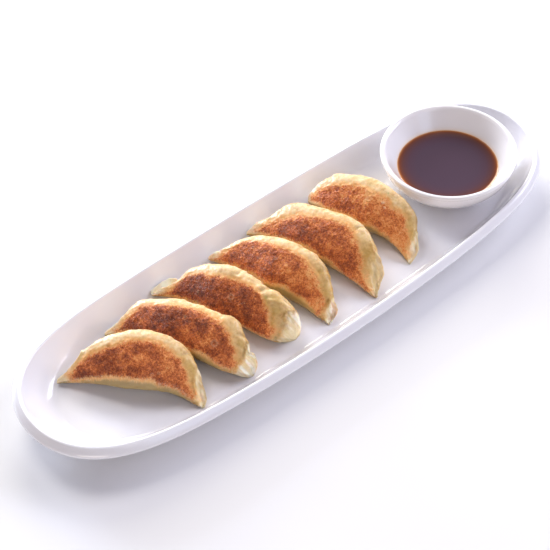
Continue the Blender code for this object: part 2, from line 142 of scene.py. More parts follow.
        left=(0.6, 44.7), right=(25.9, -43.3), bow=21.4, skew=-0.15, half_width=15.5, depth=22.5, tilt=27.5, blunt_left=(2.2, 0.97), blunt_right=(2.9, 0.78), flap_left=3.3, flap=4.8, flap_right=7.4, corner=0.05, lobe=(0.37, 0.00), lean=1.0, shoulder=7.7,
        bulge=((0.0, 0.30), (0.04, 0.22), (0.08, 0.04), (0.12, -0.10), (0.16, 0.12), (0.20, 0.28), (0.24, 0.26), (0.28, 0.18), (0.33, 0.06), (0.40, -0.04), (0.50, -0.03), (0.60, 0.05), (0.70, 0.10), (0.79, 0.0)),
        far=((0.015, 0.07), (0.08, 0.18), (0.15, 0.25), (0.25, 0.28), (0.31, 0.35), (0.38, 0.33), (0.46, 0.47), (0.56, 0.53), (0.65, 0.60), (0.71, 0.55), (0.76, 0.42), (0.81, 0.23), (0.88, 0.02), (0.93, -0.14), (0.97, -0.46)),
        near=((0.015, -0.58), (0.10, -0.66), (0.25, -0.72), (0.45, -0.71), (0.56, -0.81), (0.70, -0.80), (0.80, -0.90), (0.86, -0.98), (0.97, -0.98)),
        crease=((0.805, 1.05), (0.830, 0.80), (0.858, 0.50), (0.890, 0.15), (0.925, -0.25), (0.950, -0.55), (0.970, -0.85)), fan=(0.0, 3.2, 7.0, 11.5), brim=((0.82, 7.6, 14.0), (0.86, 9.1, 12.0), (0.89, 8.4, 9.5), (0.92, 6.8, 7.0), (0.95, 4.0, 4.8), (0.98, 1.6, 2.6), (1.00, 0.8, 1.4)), pressed=13.0, dish=2.6, rim=(0.0, 1.0, 0.90, 1.0), flank=0.0, shade=0.3, cream=0.35,
        folds=((0.760, 0.98, 0.845, 0.85, 0.55, 0.9), (0.845, 0.85, 0.872, 0.98, 0.50, 0.8), (0.905, 0.55, 0.945, 0.25, -0.60, 1.5), (0.955, 0.70, 0.978, -0.10, 0.55, 0.8), (0.978, -0.10, 0.985, -0.70, 0.45, 0.7), (0.695, 0.62, 0.70, 1.00, -0.45, 1.1), (0.12, 0.62, 0.13, 0.98, 0.40, 1.4), (0.17, 0.60, 0.18, 0.98, -0.45, 1.2)),
        tone=-0.03, patches=((0.874, -0.60, 4.0, -0.16), (0.10, 0.05, 7.0, 0.10), (0.55, 0.05, 5.0, 0.08), (0.70, 0.15, 5.0, 0.12), (0.82, -0.45, 5.0, -0.20), (0.36, -0.10, 7.0, -0.08), (0.92, -0.75, 5.0, 0.16)),
        spots=((0.42, 0.15, 0.6, "ring"), (0.915, 0.30, 2.4, "olive"), (0.84, 0.50, 3.0, "olive"), (0.11, 0.75, 3.0, "olive")),
    ),
    "gyoza_6": dict(
        left=(46.2, 41.9), right=(59.0, -36.7), bow=19.3, skew=-0.24, half_width=16.3, depth=23.2, tilt=27.2, blunt_left=(2.6, 0.55), blunt_right=(2.1, 0.93), flap_left=3.2, flap=4.8, flap_right=5.1, corner=0.06, lobe=(0.24, 0.06), lean=-3.6, shoulder=7.4,
        bulge=((0.0, -0.40), (0.04, -0.22), (0.08, -0.06), (0.12, -0.01), (0.16, 0.05), (0.20, 0.0), (0.24, -0.09), (0.28, -0.10), (0.33, -0.07), (0.40, -0.08), (0.50, -0.10), (0.60, -0.14), (0.70, -0.10), (0.80, 0.0)),
        far=((0.01, 0.10), (0.07, 0.32), (0.15, 0.30), (0.25, 0.32), (0.37, 0.35), (0.50, 0.25), (0.60, 0.35), (0.65, 0.29), (0.70, 0.21), (0.75, 0.31), (0.80, 0.40), (0.85, 0.30), (0.90, 0.22), (0.96, 0.08)),
        near=((0.01, -0.61), (0.10, -0.64), (0.25, -0.73), (0.36, -0.70), (0.46, -0.80), (0.56, -0.88), (0.68, -0.80), (0.80, -0.85), (0.90, -0.91), (0.96, -0.90)),
        crease=((0.865, 1.00), (0.880, 0.72), (0.910, 0.42), (0.938, 0.05), (0.962, -0.35), (0.985, -0.80)), fan=(0.0, 1.5, 8.0, 12.0), brim=((0.87, 5.5, 9.2), (0.90, 5.5, 8.0), (0.93, 5.2, 6.0), (0.955, 4.8, 4.2), (0.98, 2.6, 2.4), (1.00, 0.9, 1.4)), pressed=5.5, dish=1.0, rim=(0.0, 1.0, 0.90, 1.0), flank=0.0, shade=0.6, cream=0.70,
        folds=((0.875, 0.75, 0.925, 0.30, 0.35, 0.7), (0.925, 0.30, 0.960, -0.25, 0.35, 0.6), (0.885, 0.95, 0.935, 0.65, -0.40, 0.8), (0.66, 0.62, 0.665, 1.00, -0.26, 1.4), (0.71, 0.60, 0.715, 1.00, 0.24, 1.4), (0.755, 0.62, 0.76, 1.00, -0.26, 1.4), (0.815, 0.60, 0.82, 1.00, -0.20, 1.4), (0.60, 0.66, 0.61, 1.00, 0.20, 1.4)),
        tone=0.11, patches=((0.08, 0.00, 6.0, 0.12), (0.42, -0.05, 6.0, 0.14), (0.55, 0.20, 4.0, 0.10), (0.62, -0.20, 4.0, 0.18), (0.25, -0.20, 6.0, -0.06), (0.84, -0.10, 6.0, -0.02)),
        spots=((0.50, 0.02, 1.3, "ring"), (0.62, 0.10, 1.5, "blister"), (0.66, 0.02, 1.1, "blister"), (0.60, 0.55, 0.6, "green"), (0.88, 0.50, 2.5, "olive"), (0.45, 0.66, 3.0, "olive"), (0.72, 0.75, 2.5, "olive")),
    ),
}
FACE_POWER = 2.7
BELLY_POWER = 1.7
FLAP_THICKNESS = 1.3 * MM
END_HALF_WIDTH = 1.0 * MM
END_DEPTH = 1.6 * MM
END_RISE = 1.2 * MM
PLEATS = 8
PLEAT_DEPTH = 0.9 * MM

STATIONS = 236  # fine rings along a dumpling
BODY_POINTS = 176  # and points round its body
FLAP_POINTS = 34  # and round its seam


# ------------------------------------------------------------------ noise
def scattered(ix, iy, iz, seed):
    """Three even random numbers in -1..1 for each cell."""
    n = (ix.astype(np.int64) * 73856093) ^ (iy.astype(np.int64) * 19349663) ^ (iz.astype(np.int64) * 83492791) ^ (seed * 668265263 + 374761393)
    n &= 0xFFFFFFFF
    found = []
    for turn in range(3):
        n = ((n ^ (n >> 15)) * 2246822519 + turn * 97531) & 0xFFFFFFFF
        n = ((n ^ (n >> 13)) * 3266489917) & 0xFFFFFFFF
        n = n ^ (n >> 16)
        found.append(n / 2147483647.5 - 1.0)
    return found


def noise(points, size, seed=0):
    """Smooth gradient noise, about -1..1, at points (..., 3) with features of that size."""
    p = np.asarray(points) / size
    cell = np.floor(p).astype(np.int64)
    f = p - cell
    ease = f * f * f * (f * (f * 6 - 15) + 10)
    total = 0.0
    for dx in (0, 1):
        for dy in (0, 1):
            for dz in (0, 1):
                gx, gy, gz = scattered(cell[..., 0] + dx, cell[..., 1] + dy, cell[..., 2] + dz, seed)
                dot = gx * (f[..., 0] - dx) + gy * (f[..., 1] - dy) + gz * (f[..., 2] - dz)
                weight = (ease[..., 0] if dx else 1 - ease[..., 0]) * (ease[..., 1] if dy else 1 - ease[..., 1]) * (ease[..., 2] if dz else 1 - ease[..., 2])
                total = total + weight * dot
    return total * 1.55


def fractal(points, size, seed=0, octaves=3, gain=0.5):
    total, height = 0.0, 1.0
    for k in range(octaves):
        total = total + height * noise(points, size, seed + 17 * k)
        size, height = size / 2.03, height * gain
    return total


def cells(points, size, seed=0):
    """Distance to the nearest of one random point for each cell, in cells, and that point's own random number."""
    p = np.asarray(points) / size
    cell = np.floor(p).astype(np.int64)
    best = np.full(p.shape[:-1], 9.0)
    own = np.zeros(p.shape[:-1])
    for dx in (-1, 0, 1):
        for dy in (-1, 0, 1):
            for dz in (-1, 0, 1):
                cx, cy, cz = cell[..., 0] + dx, cell[..., 1] + dy, cell[..., 2] + dz
                rx, ry, rz = scattered(cx, cy, cz, seed)
                away = np.sqrt((cx + 0.5 + 0.45 * rx - p[..., 0]) ** 2 + (cy + 0.5 + 0.45 * ry - p[..., 1]) ** 2 + (cz + 0.5 + 0.45 * rz - p[..., 2]) ** 2)
                closer = away < best
                best = np.where(closer, away, best)
                own = np.where(closer, rx * ry + rz, own)
    return best, own


def smoothstep(low, high, value):
    x = np.clip((value - low) / (high - low), 0.0, 1.0)
    return x * x * (3 - 2 * x)


# ------------------------------------------------------------------ mesh helpers
def ring_mesh(name, rings, smooth=True, close_ends=True):
    """A closed body from equal closed rings, as an array (rings, points, 3)."""
    rings = np.asarray(rings, float)
    count, around = rings.shape[:2]
    index = np.arange(count * around).reshape(count, around)
    after = np.roll(index, -1, axis=1)
    quads = np.stack([index[:-1], after[:-1], after[1:], index[1:]], -1).reshape(-1, 4)
    volume = 0.0
    flat = rings.reshape(-1, 3)
    a, b, c, d = (flat[quads[:, k]] for k in range(4))
    volume = np.einsum("ij,ij->i", a, np.cross(b, c)).sum() + np.einsum("ij,ij->i", a, np.cross(c, d)).sum()
    for ring, turn in ((rings[0], -1), (rings[-1], 1)):
        centre = ring.mean(0)
        volume += turn * np.einsum("j,ij->i", centre, np.cross(ring, np.roll(ring, -1, axis=0))).sum()
    first, last = list(range(around))[::-1], list(range((count - 1) * around, count * around))
    faces = quads.tolist()
    if close_ends:
        faces += [first, last]
    if volume < 0:
        faces = [face[::-1] for face in faces]
    mesh = bpy.data.meshes.new(name)
    mesh.from_pydata(flat.tolist(), [], faces)
    mesh.validate()
    if smooth:
        mesh.shade_smooth()
    mesh.update()
    obj = bpy.data.objects.new(name, mesh)
    bpy.context.scene.collection.objects.link(obj)
    return obj


def store(obj, name, values):
    """A number for each vertex, which the materials read by name."""
    layer = obj.data.attributes.new(name, "FLOAT", "POINT")
    layer.data.foreach_set("value", np.ascontiguousarray(values, np.float32).ravel())


def store_vector(obj, name, values):
    layer = obj.data.attributes.new(name, "FLOAT_VECTOR", "POINT")
    layer.data.foreach_set("vector", np.ascontiguousarray(values, np.float32).ravel())


def rounded(steps, passes=3, keep=()):
    """Corner cutting of an open profile: the same line with rounded corners."""
    line = [tuple(step) for step in steps]
    for _ in range(passes):
        out = [line[0]]
        for a, b in zip(line[:-1], line[1:]):
            out.append(tuple(0.75 * p + 0.25 * q for p, q in zip(a, b)))
            out.append(tuple(0.25 * p + 0.75 * q for p, q in zip(a, b)))
        out.append(line[-1])
        line = out
    return line


# ------------------------------------------------------------------ materials
class Net:
    """Builds one node material around its Principled shader."""

    def __init__(self, name):
        self.material = bpy.data.materials.new(name)
        self.material.use_nodes = True
        self.tree = self.material.node_tree
        self.shader = self.tree.nodes["Principled BSDF"]

    def node(self, kind, **settings):
        made = self.tree.nodes.new(kind)
        for key, value in settings.items():
            setattr(made, key, value)
        return made

    def put(self, socket, value):
        if isinstance(value, bpy.types.NodeSocket):
            self.tree.links.new(value, socket)
        else:
            socket.default_value = value

    def place(self, scale=1.0):
        """Object coordinates in millimetres."""
        where = self.node("ShaderNodeTexCoord").outputs["Object"]
        made = self.node("ShaderNodeVectorMath", operation="SCALE")
        self.put(made.inputs[0], where)
        made.inputs["Scale"].default_value = 1000.0 * scale
        return made.outputs[0]

    def vector(self, operation, a, b):
        made = self.node("ShaderNodeVectorMath", operation=operation)
        self.put(made.inputs[0], a)
        self.put(made.inputs[1], b)
        return made.outputs[0]

    def read(self, name):
        made = self.node("ShaderNodeAttribute", attribute_name=name)
        return made.outputs["Fac"]

    def read_vector(self, name):
        return self.node("ShaderNodeAttribute", attribute_name=name).outputs["Vector"]

    def math(self, operation, a, b=0.0, c=0.0, clamp=False):
        made = self.node("ShaderNodeMath", operation=operation, use_clamp=clamp)
        for socket, value in zip(made.inputs, (a, b, c)):
            self.put(socket, value)
        return made.outputs[0]

    def noise(self, where, size, detail=2.0, roughness=0.5, distortion=0.0):
        """Noise 0..1 with features of that size, in the units of where."""
        made = self.node("ShaderNodeTexNoise")
        self.put(made.inputs["Vector"], where)
        made.inputs["Scale"].default_value = 1.0 / size
        made.inputs["Detail"].default_value = detail
        made.inputs["Roughness"].default_value = roughness
        made.inputs["Distortion"].default_value = distortion
        return made.outputs["Fac"]

    def cells(self, where, size, feature="F1", randomness=1.0):
        made = self.node("ShaderNodeTexVoronoi", feature=feature)
        self.put(made.inputs["Vector"], where)
        made.inputs["Scale"].default_value = 1.0 / size
        made.inputs["Randomness"].default_value = randomness
        return made.outputs["Distance"]

    def spread(self, value, low, high, to_low=0.0, to_high=1.0, smooth=True):
        made = self.node("ShaderNodeMapRange", interpolation_type="SMOOTHSTEP" if smooth else "LINEAR")
        for socket, given in zip(made.inputs, (value, low, high, to_low, to_high)):
            self.put(socket, given)
        return made.outputs[0]

    def ramp(self, value, stops):
        made = self.node("ShaderNodeValToRGB")
        line = made.color_ramp
        while len(line.elements) < len(stops):
            line.elements.new(0.5)
        for element, (at, colour) in zip(line.elements, stops):
            element.position = at
            element.color = (*colour, 1.0)
        self.put(made.inputs[0], value)
        return made.outputs[0]

    def mix(self, amount, a, b, how="MIX"):
        made = self.node("ShaderNodeMix", data_type="RGBA", blend_type=how)
        self.put(made.inputs[0], amount)
        for socket, value in ((made.inputs[6], a), (made.inputs[7], b)):
            self.put(socket, (*value, 1.0) if isinstance(value, tuple) else value)
        return made.outputs[2]

    def bump(self, height, distance, strength=1.0, normal=None):
        made = self.node("ShaderNodeBump")
        made.inputs["Strength"].default_value = strength
        made.inputs["Distance"].default_value = distance
        self.put(made.inputs["Height"], height)
        if normal is not None:
            self.put(made.inputs["Normal"], normal)
        return made.outputs[0]

    def set(self, **values):
        for key, value in values.items():
            self.put(self.shader.inputs[key.replace("_", " ")], value)


def porcelain(name, colour, shade, sauce_glow=False):
    """White glaze: nearly even, a little cloudy, with the faint waviness of a fired surface."""
    net = Net(name)
    where = net.place()
    cloud = net.noise(where, 34.0, 2.0, 0.55)
    speck = net.spread(net.noise(where, 0.9, 1.0, 0.5), 0.70, 0.80)
    base = net.mix(net.spread(cloud, 0.3, 0.7), shade, colour)
    base = net.mix(net.math("MULTIPLY", speck, 0.10), base, tuple(0.93 * c for c in colour))
    if sauce_glow:  # painted glow: the amber light that comes through the sauce's edge, laid on the wall just above it
        base = net.mix(net.math("MULTIPLY", net.read("sauce_glow"), 0.75), base, (0.80, 0.50, 0.22))
    wave = net.noise(where, 26.0, 1.0, 0.4)
    grain = net.noise(where, 1.6, 2.0, 0.5)
    normal = net.bump(wave, 0.35 * MM, 0.16)
    normal = net.bump(grain, 0.012 * MM, 0.5, normal)
    net.set(Base_Color=base, Roughness=net.spread(net.noise(where, 6.0, 3.0, 0.6), 0.3, 0.7, 0.14, 0.24), Normal=normal)
    net.set(Coat_Weight=0.6, Coat_Roughness=0.04, Coat_IOR=1.5, Specular_IOR_Level=0.45)
    net.set(Subsurface_Weight=0.06, Subsurface_Scale=0.9 * MM)
    net.shader.inputs["Subsurface Radius"].default_value = (1.0, 0.95, 0.9)
    return net.material


def sauce_material():
    """Soy sauce: nearly black where deep, but painted a plum grey there as the reflection of the pale room on its
    surface; brown and then amber where it thins out at the wall.
    """
    net = Net("soy_sauce_liquid")
    where = net.place()
    edge = net.read("from_edge")
    wobble = net.math("MULTIPLY", net.math("SUBTRACT", net.noise(where, 7.0, 2.0, 0.5), 0.5), 0.5)
    depth = net.math("ADD", edge, wobble)
    # the deepest stops are lifted to plum grey: a painted reflection of the pale room laid over near-black sauce
    stops = (
        (0.000, (0.74, 0.44, 0.22)),
        (0.03, (0.50, 0.21, 0.075)),
        (0.08, (0.27, 0.080, 0.030)),
        (0.16, (0.160, 0.050, 0.028)),
        (0.30, (0.110, 0.046, 0.044)),
        (0.60, (0.086, 0.047, 0.064)),
        (1.00, (0.078, 0.049, 0.070)),
    )
    base = net.ramp(net.math("DIVIDE", depth, 12.0), stops)
    net.set(Base_Color=base, Roughness=net.spread(net.noise(where, 5.0, 2.0, 0.5), 0.3, 0.7, 0.025, 0.05))
    net.set(IOR=1.38, Specular_IOR_Level=0.5, Coat_Weight=0.25, Coat_Roughness=0.02)
    net.set(Normal=net.bump(net.noise(where, 18.0, 1.0, 0.5), 0.05 * MM, 0.4))
    return net.material


def dumpling_material():
    """Wheat dough, steamed half clear, with a fried crust on the flat face. crust holds how
    far a point is inside the crust's edge in mm; skin holds (along, across, which) in mm."""
    net = Net("fried_dumpling")
    where = net.place()
    skin = net.read_vector("skin")
    crust, tone = net.read("crust"), net.read("tone")
    thin, painted_fold_shade = net.read("thin"), net.read("painted_fold_shade")
    amber, green, pale = net.read("amber"), net.read("green"), net.read("pale")
    cream = net.read("cream")
    streaked = net.vector("MULTIPLY", skin, (1.0, 0.28, 1.0))

    # the dough
    cloud = net.noise(where, 6.0, 4.0, 0.6, 0.3)
    mottle = net.noise(where, 2.4, 3.0, 0.6, 0.4)
    fine = net.noise(where, 1.2, 3.0, 0.6)
    veins = net.noise(streaked, 2.6, 3.0, 0.55, 0.4)
    dough = net.ramp(
        net.math("ADD", net.math("ADD", net.math("MULTIPLY", cloud, 0.50), net.math("MULTIPLY", mottle, 0.30)), net.math("MULTIPLY", veins, 0.20)),
        ((0.36, (0.54, 0.320, 0.125)), (0.45, (0.70, 0.465, 0.205)), (0.54, (0.81, 0.590, 0.310)), (0.66, (0.87, 0.690, 0.415))),
    )
    # painted shade: darker dough in the pleat valleys, the wrinkle hollows and along the creases
    dough = net.mix(net.math("MULTIPLY", painted_fold_shade, 0.65, clamp=True), dough, (0.40, 0.25, 0.075))
    dough = net.mix(net.math("MULTIPLY", thin, 0.35), dough, (0.84, 0.72, 0.46))
    streaks = net.spread(net.noise(net.vector("MULTIPLY", skin, (0.25, 1.0, 1.0)), 1.8, 2.0, 0.5), 0.35, 0.60)
    # pale cream of the unfilled pinched dough; on the left tips and the third dumpling's tab it is partly painted light
    # that lifts them out of their shade
    dough = net.mix(net.math("MULTIPLY", cream, 1.0, clamp=True), dough, net.mix(streaks, (0.92, 0.78, 0.47), (1.0, 0.96, 0.81)))
    dough = net.mix(net.math("MULTIPLY", net.spread(fine, 0.58, 0.72), 0.30), dough, (0.50, 0.32, 0.12))
    dough = net.mix(net.math("MULTIPLY", net.read("rim"), 0.60), dough, (0.58, 0.30, 0.15))
    dough = net.mix(net.math("MULTIPLY", net.read("olive"), 0.50), dough, (0.56, 0.38, 0.11))
    # painted shade: the dough of the right ends is darkened and warmed, for the side turned from the lamps
    dough = net.mix(net.math("MULTIPLY", net.read("golden"), 0.80), dough, net.mix(1.0, dough, (0.79, 0.70, 0.42), "MULTIPLY"))
    # painted shade: the near underside of the dough, low down under the overhang, darkened to a dull olive-brown
    dough = net.mix(net.math("MULTIPLY", net.read("painted_belly_shade"), 0.97), dough, net.mix(cloud, (0.27, 0.185, 0.068), (0.42, 0.295, 0.115)))
    dough = net.mix(net.math("MULTIPLY", green, 0.75), dough, (0.34, 0.32, 0.08))

    # where the crust begins: a feathered edge, with short streaks running out of it
    feather = net.math("SUBTRACT", net.noise(streaked, 1.1, 3.0, 0.65), 0.5)
    drift = net.math("SUBTRACT", net.noise(where, 5.0, 2.0, 0.5), 0.5)
    grain = net.math("SUBTRACT", net.noise(where, 0.75, 3.0, 0.65), 0.5)
    inside = net.math("ADD", crust, net.math("MULTIPLY", feather, 2.9))
    inside = net.math("ADD", inside, net.math("MULTIPLY", drift, 3.7))
    inside = net.math("ADD", inside, net.math("MULTIPLY", grain, 2.1))
    inside = net.math("ADD", inside, net.math("MULTIPLY", net.read("golden"), 0.9))
    toast = net.math("MULTIPLY", net.spread(inside, -2.9, 0.3), net.math("SUBTRACT", 1.0, net.math("MULTIPLY", cream, 0.8)))
    toast = net.math("MULTIPLY", toast, net.math("SUBTRACT", 1.0, net.math("MULTIPLY", net.read("golden"), 0.6)))
    browned = net.spread(inside, -0.7, 1.8)

    # the crust itself
    patch = net.math("SUBTRACT", net.noise(where, 6.5, 2.0, 0.5), 0.5)
    blotch = net.math("SUBTRACT", net.noise(where, 2.3, 3.0, 0.6, 0.3), 0.5)
    pores = net.cells(where, 1.25)
    fleck = net.math("SUBTRACT", net.noise(where, 0.62, 2.0, 0.6), 0.5)
    bake = net.math("ADD", net.math("MULTIPLY", patch, 0.85), net.math("MULTIPLY", blotch, 0.80))
    bake = net.math("ADD", bake, net.math("MULTIPLY", fleck, 0.85))
    bake = net.math("ADD", bake, net.math("MULTIPLY", net.math("SUBTRACT", pores, 0.42), 0.28))
    bake = net.math("ADD", bake, net.math("ADD", tone, 0.50))
    bake = net.math("ADD", bake, net.spread(inside, 0.0, 3.2, 0.20, 0.0))
    brown = net.ramp(
        bake,
        (
            (0.05, (0.112, 0.020, 0.006)),
            (0.28, (0.232, 0.047, 0.011)),
            (0.48, (0.410, 0.094, 0.020)),
            (0.66, (0.625, 0.170, 0.039)),
            (0.82, (0.800, 0.285, 0.075)),
            (1.00, (0.870, 0.430, 0.150)),
        ),
    )
    colour = net.mix(net.math("MULTIPLY", toast, 0.84), dough, (0.83, 0.41, 0.115))
    colour = net.mix(browned, colour, brown)
    # light orange flecks on the crust: partly lighter grains of crust, partly painted glints of its oily surface
    fleck_and_glint = net.spread(net.noise(where, 0.95, 3.0, 0.7), 0.60, 0.74)
    colour = net.mix(net.math("MULTIPLY", net.math("MULTIPLY", fleck_and_glint, browned), 0.68), colour, (0.90, 0.45, 0.150))
    pit = net.spread(net.noise(where, 0.8, 2.0, 0.7), 0.40, 0.28)
    colour = net.mix(net.math("MULTIPLY", net.math("MULTIPLY", pit, browned), 0.60), colour, (0.120, 0.026, 0.010))
    crumb = net.math("MULTIPLY", net.spread(net.noise(where, 0.9, 2.0, 0.6), 0.54, 0.66), net.math("MULTIPLY", toast, net.spread(inside, 2.6, 0.6)))
    colour = net.mix(net.math("MULTIPLY", crumb, 0.55), colour, (0.93, 0.66, 0.33))
    lace = net.math("MULTIPLY", net.spread(net.noise(streaked, 0.8, 2.0, 0.6), 0.46, 0.58), net.read("fringe"))
    colour = net.mix(net.math("MULTIPLY", lace, 0.42), colour, (0.93, 0.78, 0.52))
    colour = net.mix(net.math("MULTIPLY", amber, 0.85), colour, (0.52, 0.24, 0.06))
    colour = net.mix(net.math("MULTIPLY", pale, 0.75), colour, (0.80, 0.66, 0.44))

    # relief too fine for the mesh
    dough_relief = net.math("ADD", net.math("MULTIPLY", veins, 0.5), net.math("MULTIPLY", fine, 0.35))
    crust_relief = net.math("ADD", net.noise(where, 0.55, 3.0, 0.7), net.math("MULTIPLY", pores, 0.5))
    dough_normal = net.bump(dough_relief, 0.30 * MM, 0.5)
    normal = net.node("ShaderNodeMix", data_type="VECTOR")
    net.put(normal.inputs[0], browned)
    net.put(normal.inputs[4], dough_normal)
    net.put(normal.inputs[5], net.bump(crust_relief, 0.42 * MM, 0.85))
    rough = net.spread(net.noise(where, 2.2, 2.0, 0.5), 0.3, 0.7, 0.36, 0.54)
    crisp = net.spread(net.noise(where, 1.1, 2.0, 0.5), 0.3, 0.7, 0.48, 0.84)
    roughness = net.node("ShaderNodeMix", data_type="FLOAT")
    net.put(roughness.inputs[0], browned)
    net.put(roughness.inputs[2], rough)
    net.put(roughness.inputs[3], crisp)
    net.set(Base_Color=colour, Roughness=roughness.outputs[0], Normal=normal.outputs[1])
    net.set(Specular_IOR_Level=0.38, Coat_Weight=0.10, Coat_Roughness=0.22, Coat_IOR=1.45)
    net.set(Subsurface_Weight=0.30, Subsurface_Scale=2.4 * MM)
    net.shader.inputs["Subsurface Radius"].default_value = (1.0, 0.55, 0.22)
    return net.material


def floor_material():
    net = Net("pale_table")
    where = net.place()
    base = net.mix(net.spread(net.noise(where, 180.0, 2.0, 0.5), 0.3, 0.7), (0.80, 0.80, 0.81), (0.83, 0.83, 0.84))
    net.set(Base_Color=base, Roughness=0.75)
    net.set(Specular_IOR_Level=0.15)
    return net.material


# ------------------------------------------------------------------ plate
def signed_power(value, power):
    return np.sign(value) * np.abs(value) ** power


def rim_line(inset, angle):
    """Points of the plate's oval, moved in from the rim line by inset."""
    a = RIM_HALF_LENGTH - inset
    b = RIM_HALF_WIDTH - inset
    x = a * signed_power(np.cos(angle), 2 / RIM_POWER_X)
    y = b * signed_power(np.sin(angle), 2 / RIM_POWER_Y)
    return x, y * (1 - RIM_TAPER * (x / a) ** 2)


def plate_angles(count):
    """Angles that space the points of the rim line evenly along it."""
    fine = 24000
    angle = 2 * pi * (np.arange(fine + 1) + 0.5) / fine
    x, y = rim_line(0.0, angle)
    length = np.concatenate([[0.0], np.cumsum(np.hypot(np.diff(x), np.diff(y)))])
    return np.interp(length[-1] * np.arange(count) / count, length, angle)


def plate_profile(end):
    """(inset, height) from the underside, up the outside, over the rim and down to the floor."""
    rim = RIM_HEIGHT + RIM_RISE * end
    foot = FOOT_INSET + FOOT_INSET_ENDS * end
    out = BAND_OUT + BAND_OUT_ENDS * end**2
    run = WALL_RUN + WALL_RUN_ENDS * end**3
    band = rim - BAND_DROP
    steps = [(foot + 5.2 * MM, 1.2 * MM), (foot + 4.4 * MM, 1.15 * MM), (foot + 3.7 * MM, 0.1 * MM), (foot + 3.3 * MM, 0.0), (foot + 0.5 * MM, 0.0), (foot, 0.12 * MM), (foot - 0.6 * MM, FOOT_HEIGHT)]
    for k in range(1, 12):
        t = k / 12
        steps.append((foot - 0.6 * MM - (foot + out - 2.2 * MM) * t, FOOT_HEIGHT + (band - 2.6 * MM - FOOT_HEIGHT) * t**1.5))
    steps.append((-out + 1.1 * MM, band - 1.9 * MM))
    steps.append((-out + 0.25 * MM, band - 0.9 * MM))
    steps.append((-out, band))
    steps.append((-0.93 * out, band + 0.22 * BAND_DROP))
    steps.append((-0.55 * out, band + 0.56 * BAND_DROP))
    steps.append((-0.16 * out, band + 0.84 * BAND_DROP))
    steps.append((0.12 * MM, rim - 0.18 * MM))
    steps.append((0.5 * RIM_TOP_WIDTH, rim))
    steps.append((0.95 * RIM_TOP_WIDTH, rim - 0.22 * MM))
    for k in range(1, 22):
        t = k / 21
        steps.append((RIM_TOP_WIDTH + (run - RIM_TOP_WIDTH) * (1 - cos(t * pi / 2)) ** 0.62, FLOOR_HEIGHT + (rim - 0.3 * MM - FLOOR_HEIGHT) * (1 - sin(t * pi / 2)) ** 0.94))
    return steps


def make_plate(finish):
    angles = plate_angles(520)
    x0, _ = rim_line(0.0, angles)
    ends = (x0 / RIM_HALF_LENGTH) ** 2
    profiles = np.array([rounded(plate_profile(end), 1) for end in ends])
    rings = []
    for step in range(profiles.shape[1]):
        x, y = rim_line(profiles[:, step, 0], angles)
        rings.append(np.stack([x, y, profiles[:, step, 1]], -1))
    rings = np.array(rings)
    # the flat of the floor and of the underside, in a few rings towards the middle line
    centre = np.stack([np.clip(rings[-1][:, 0], -0.118, 0.118), 0 * x, 0 * x + FLOOR_HEIGHT], -1)
    floor = [rings[-1] + (centre - rings[-1]) * k for k in (0.15, 0.4, 0.7, 0.95)]
    low = centre * (1, 1, 0) + (0, 0, 1.2 * MM)
    under = [rings[0] + (low - rings[0]) * k for k in (0.95, 0.6, 0.2)]
    rings = np.concatenate([np.array(under), rings, np.array(floor)])
    obj = ring_mesh("plate_porcelain_body", rings)
    obj.data.materials.append(finish)
    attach(obj, "root")
    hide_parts("plate")
    return obj


# ------------------------------------------------------------------ dipping bowl and sauce
def bowl_inside_radius(height):
    slope = (BOWL_RADIUS - BOWL_LIP - SAUCE_RADIUS - GAP) / (BOWL_TOP - SAUCE_TOP)
    if height >= SAUCE_TOP:
        return SAUCE_RADIUS + GAP + slope * (height - SAUCE_TOP)
    t = (SAUCE_TOP - height) / (SAUCE_TOP - BOWL_WELL_HEIGHT)
    wide = SAUCE_RADIUS + GAP - slope * 0.6 * (SAUCE_TOP - height)
    return BOWL_WELL_RADIUS + (wide - BOWL_WELL_RADIUS) * sqrt(max(0.0, 1 - t**2.4))


def turned(name, steps, finish, segments=240):
    angle = 2 * pi * np.arange(segments) / segments
    rings = [np.stack([BOWL_X + radius * np.cos(angle), BOWL_Y + radius * np.sin(angle), 0 * angle + height], -1) for radius, height in steps]
    obj = ring_mesh(name, rings)
    obj.data.materials.append(finish)
    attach(obj, "root")
    return obj


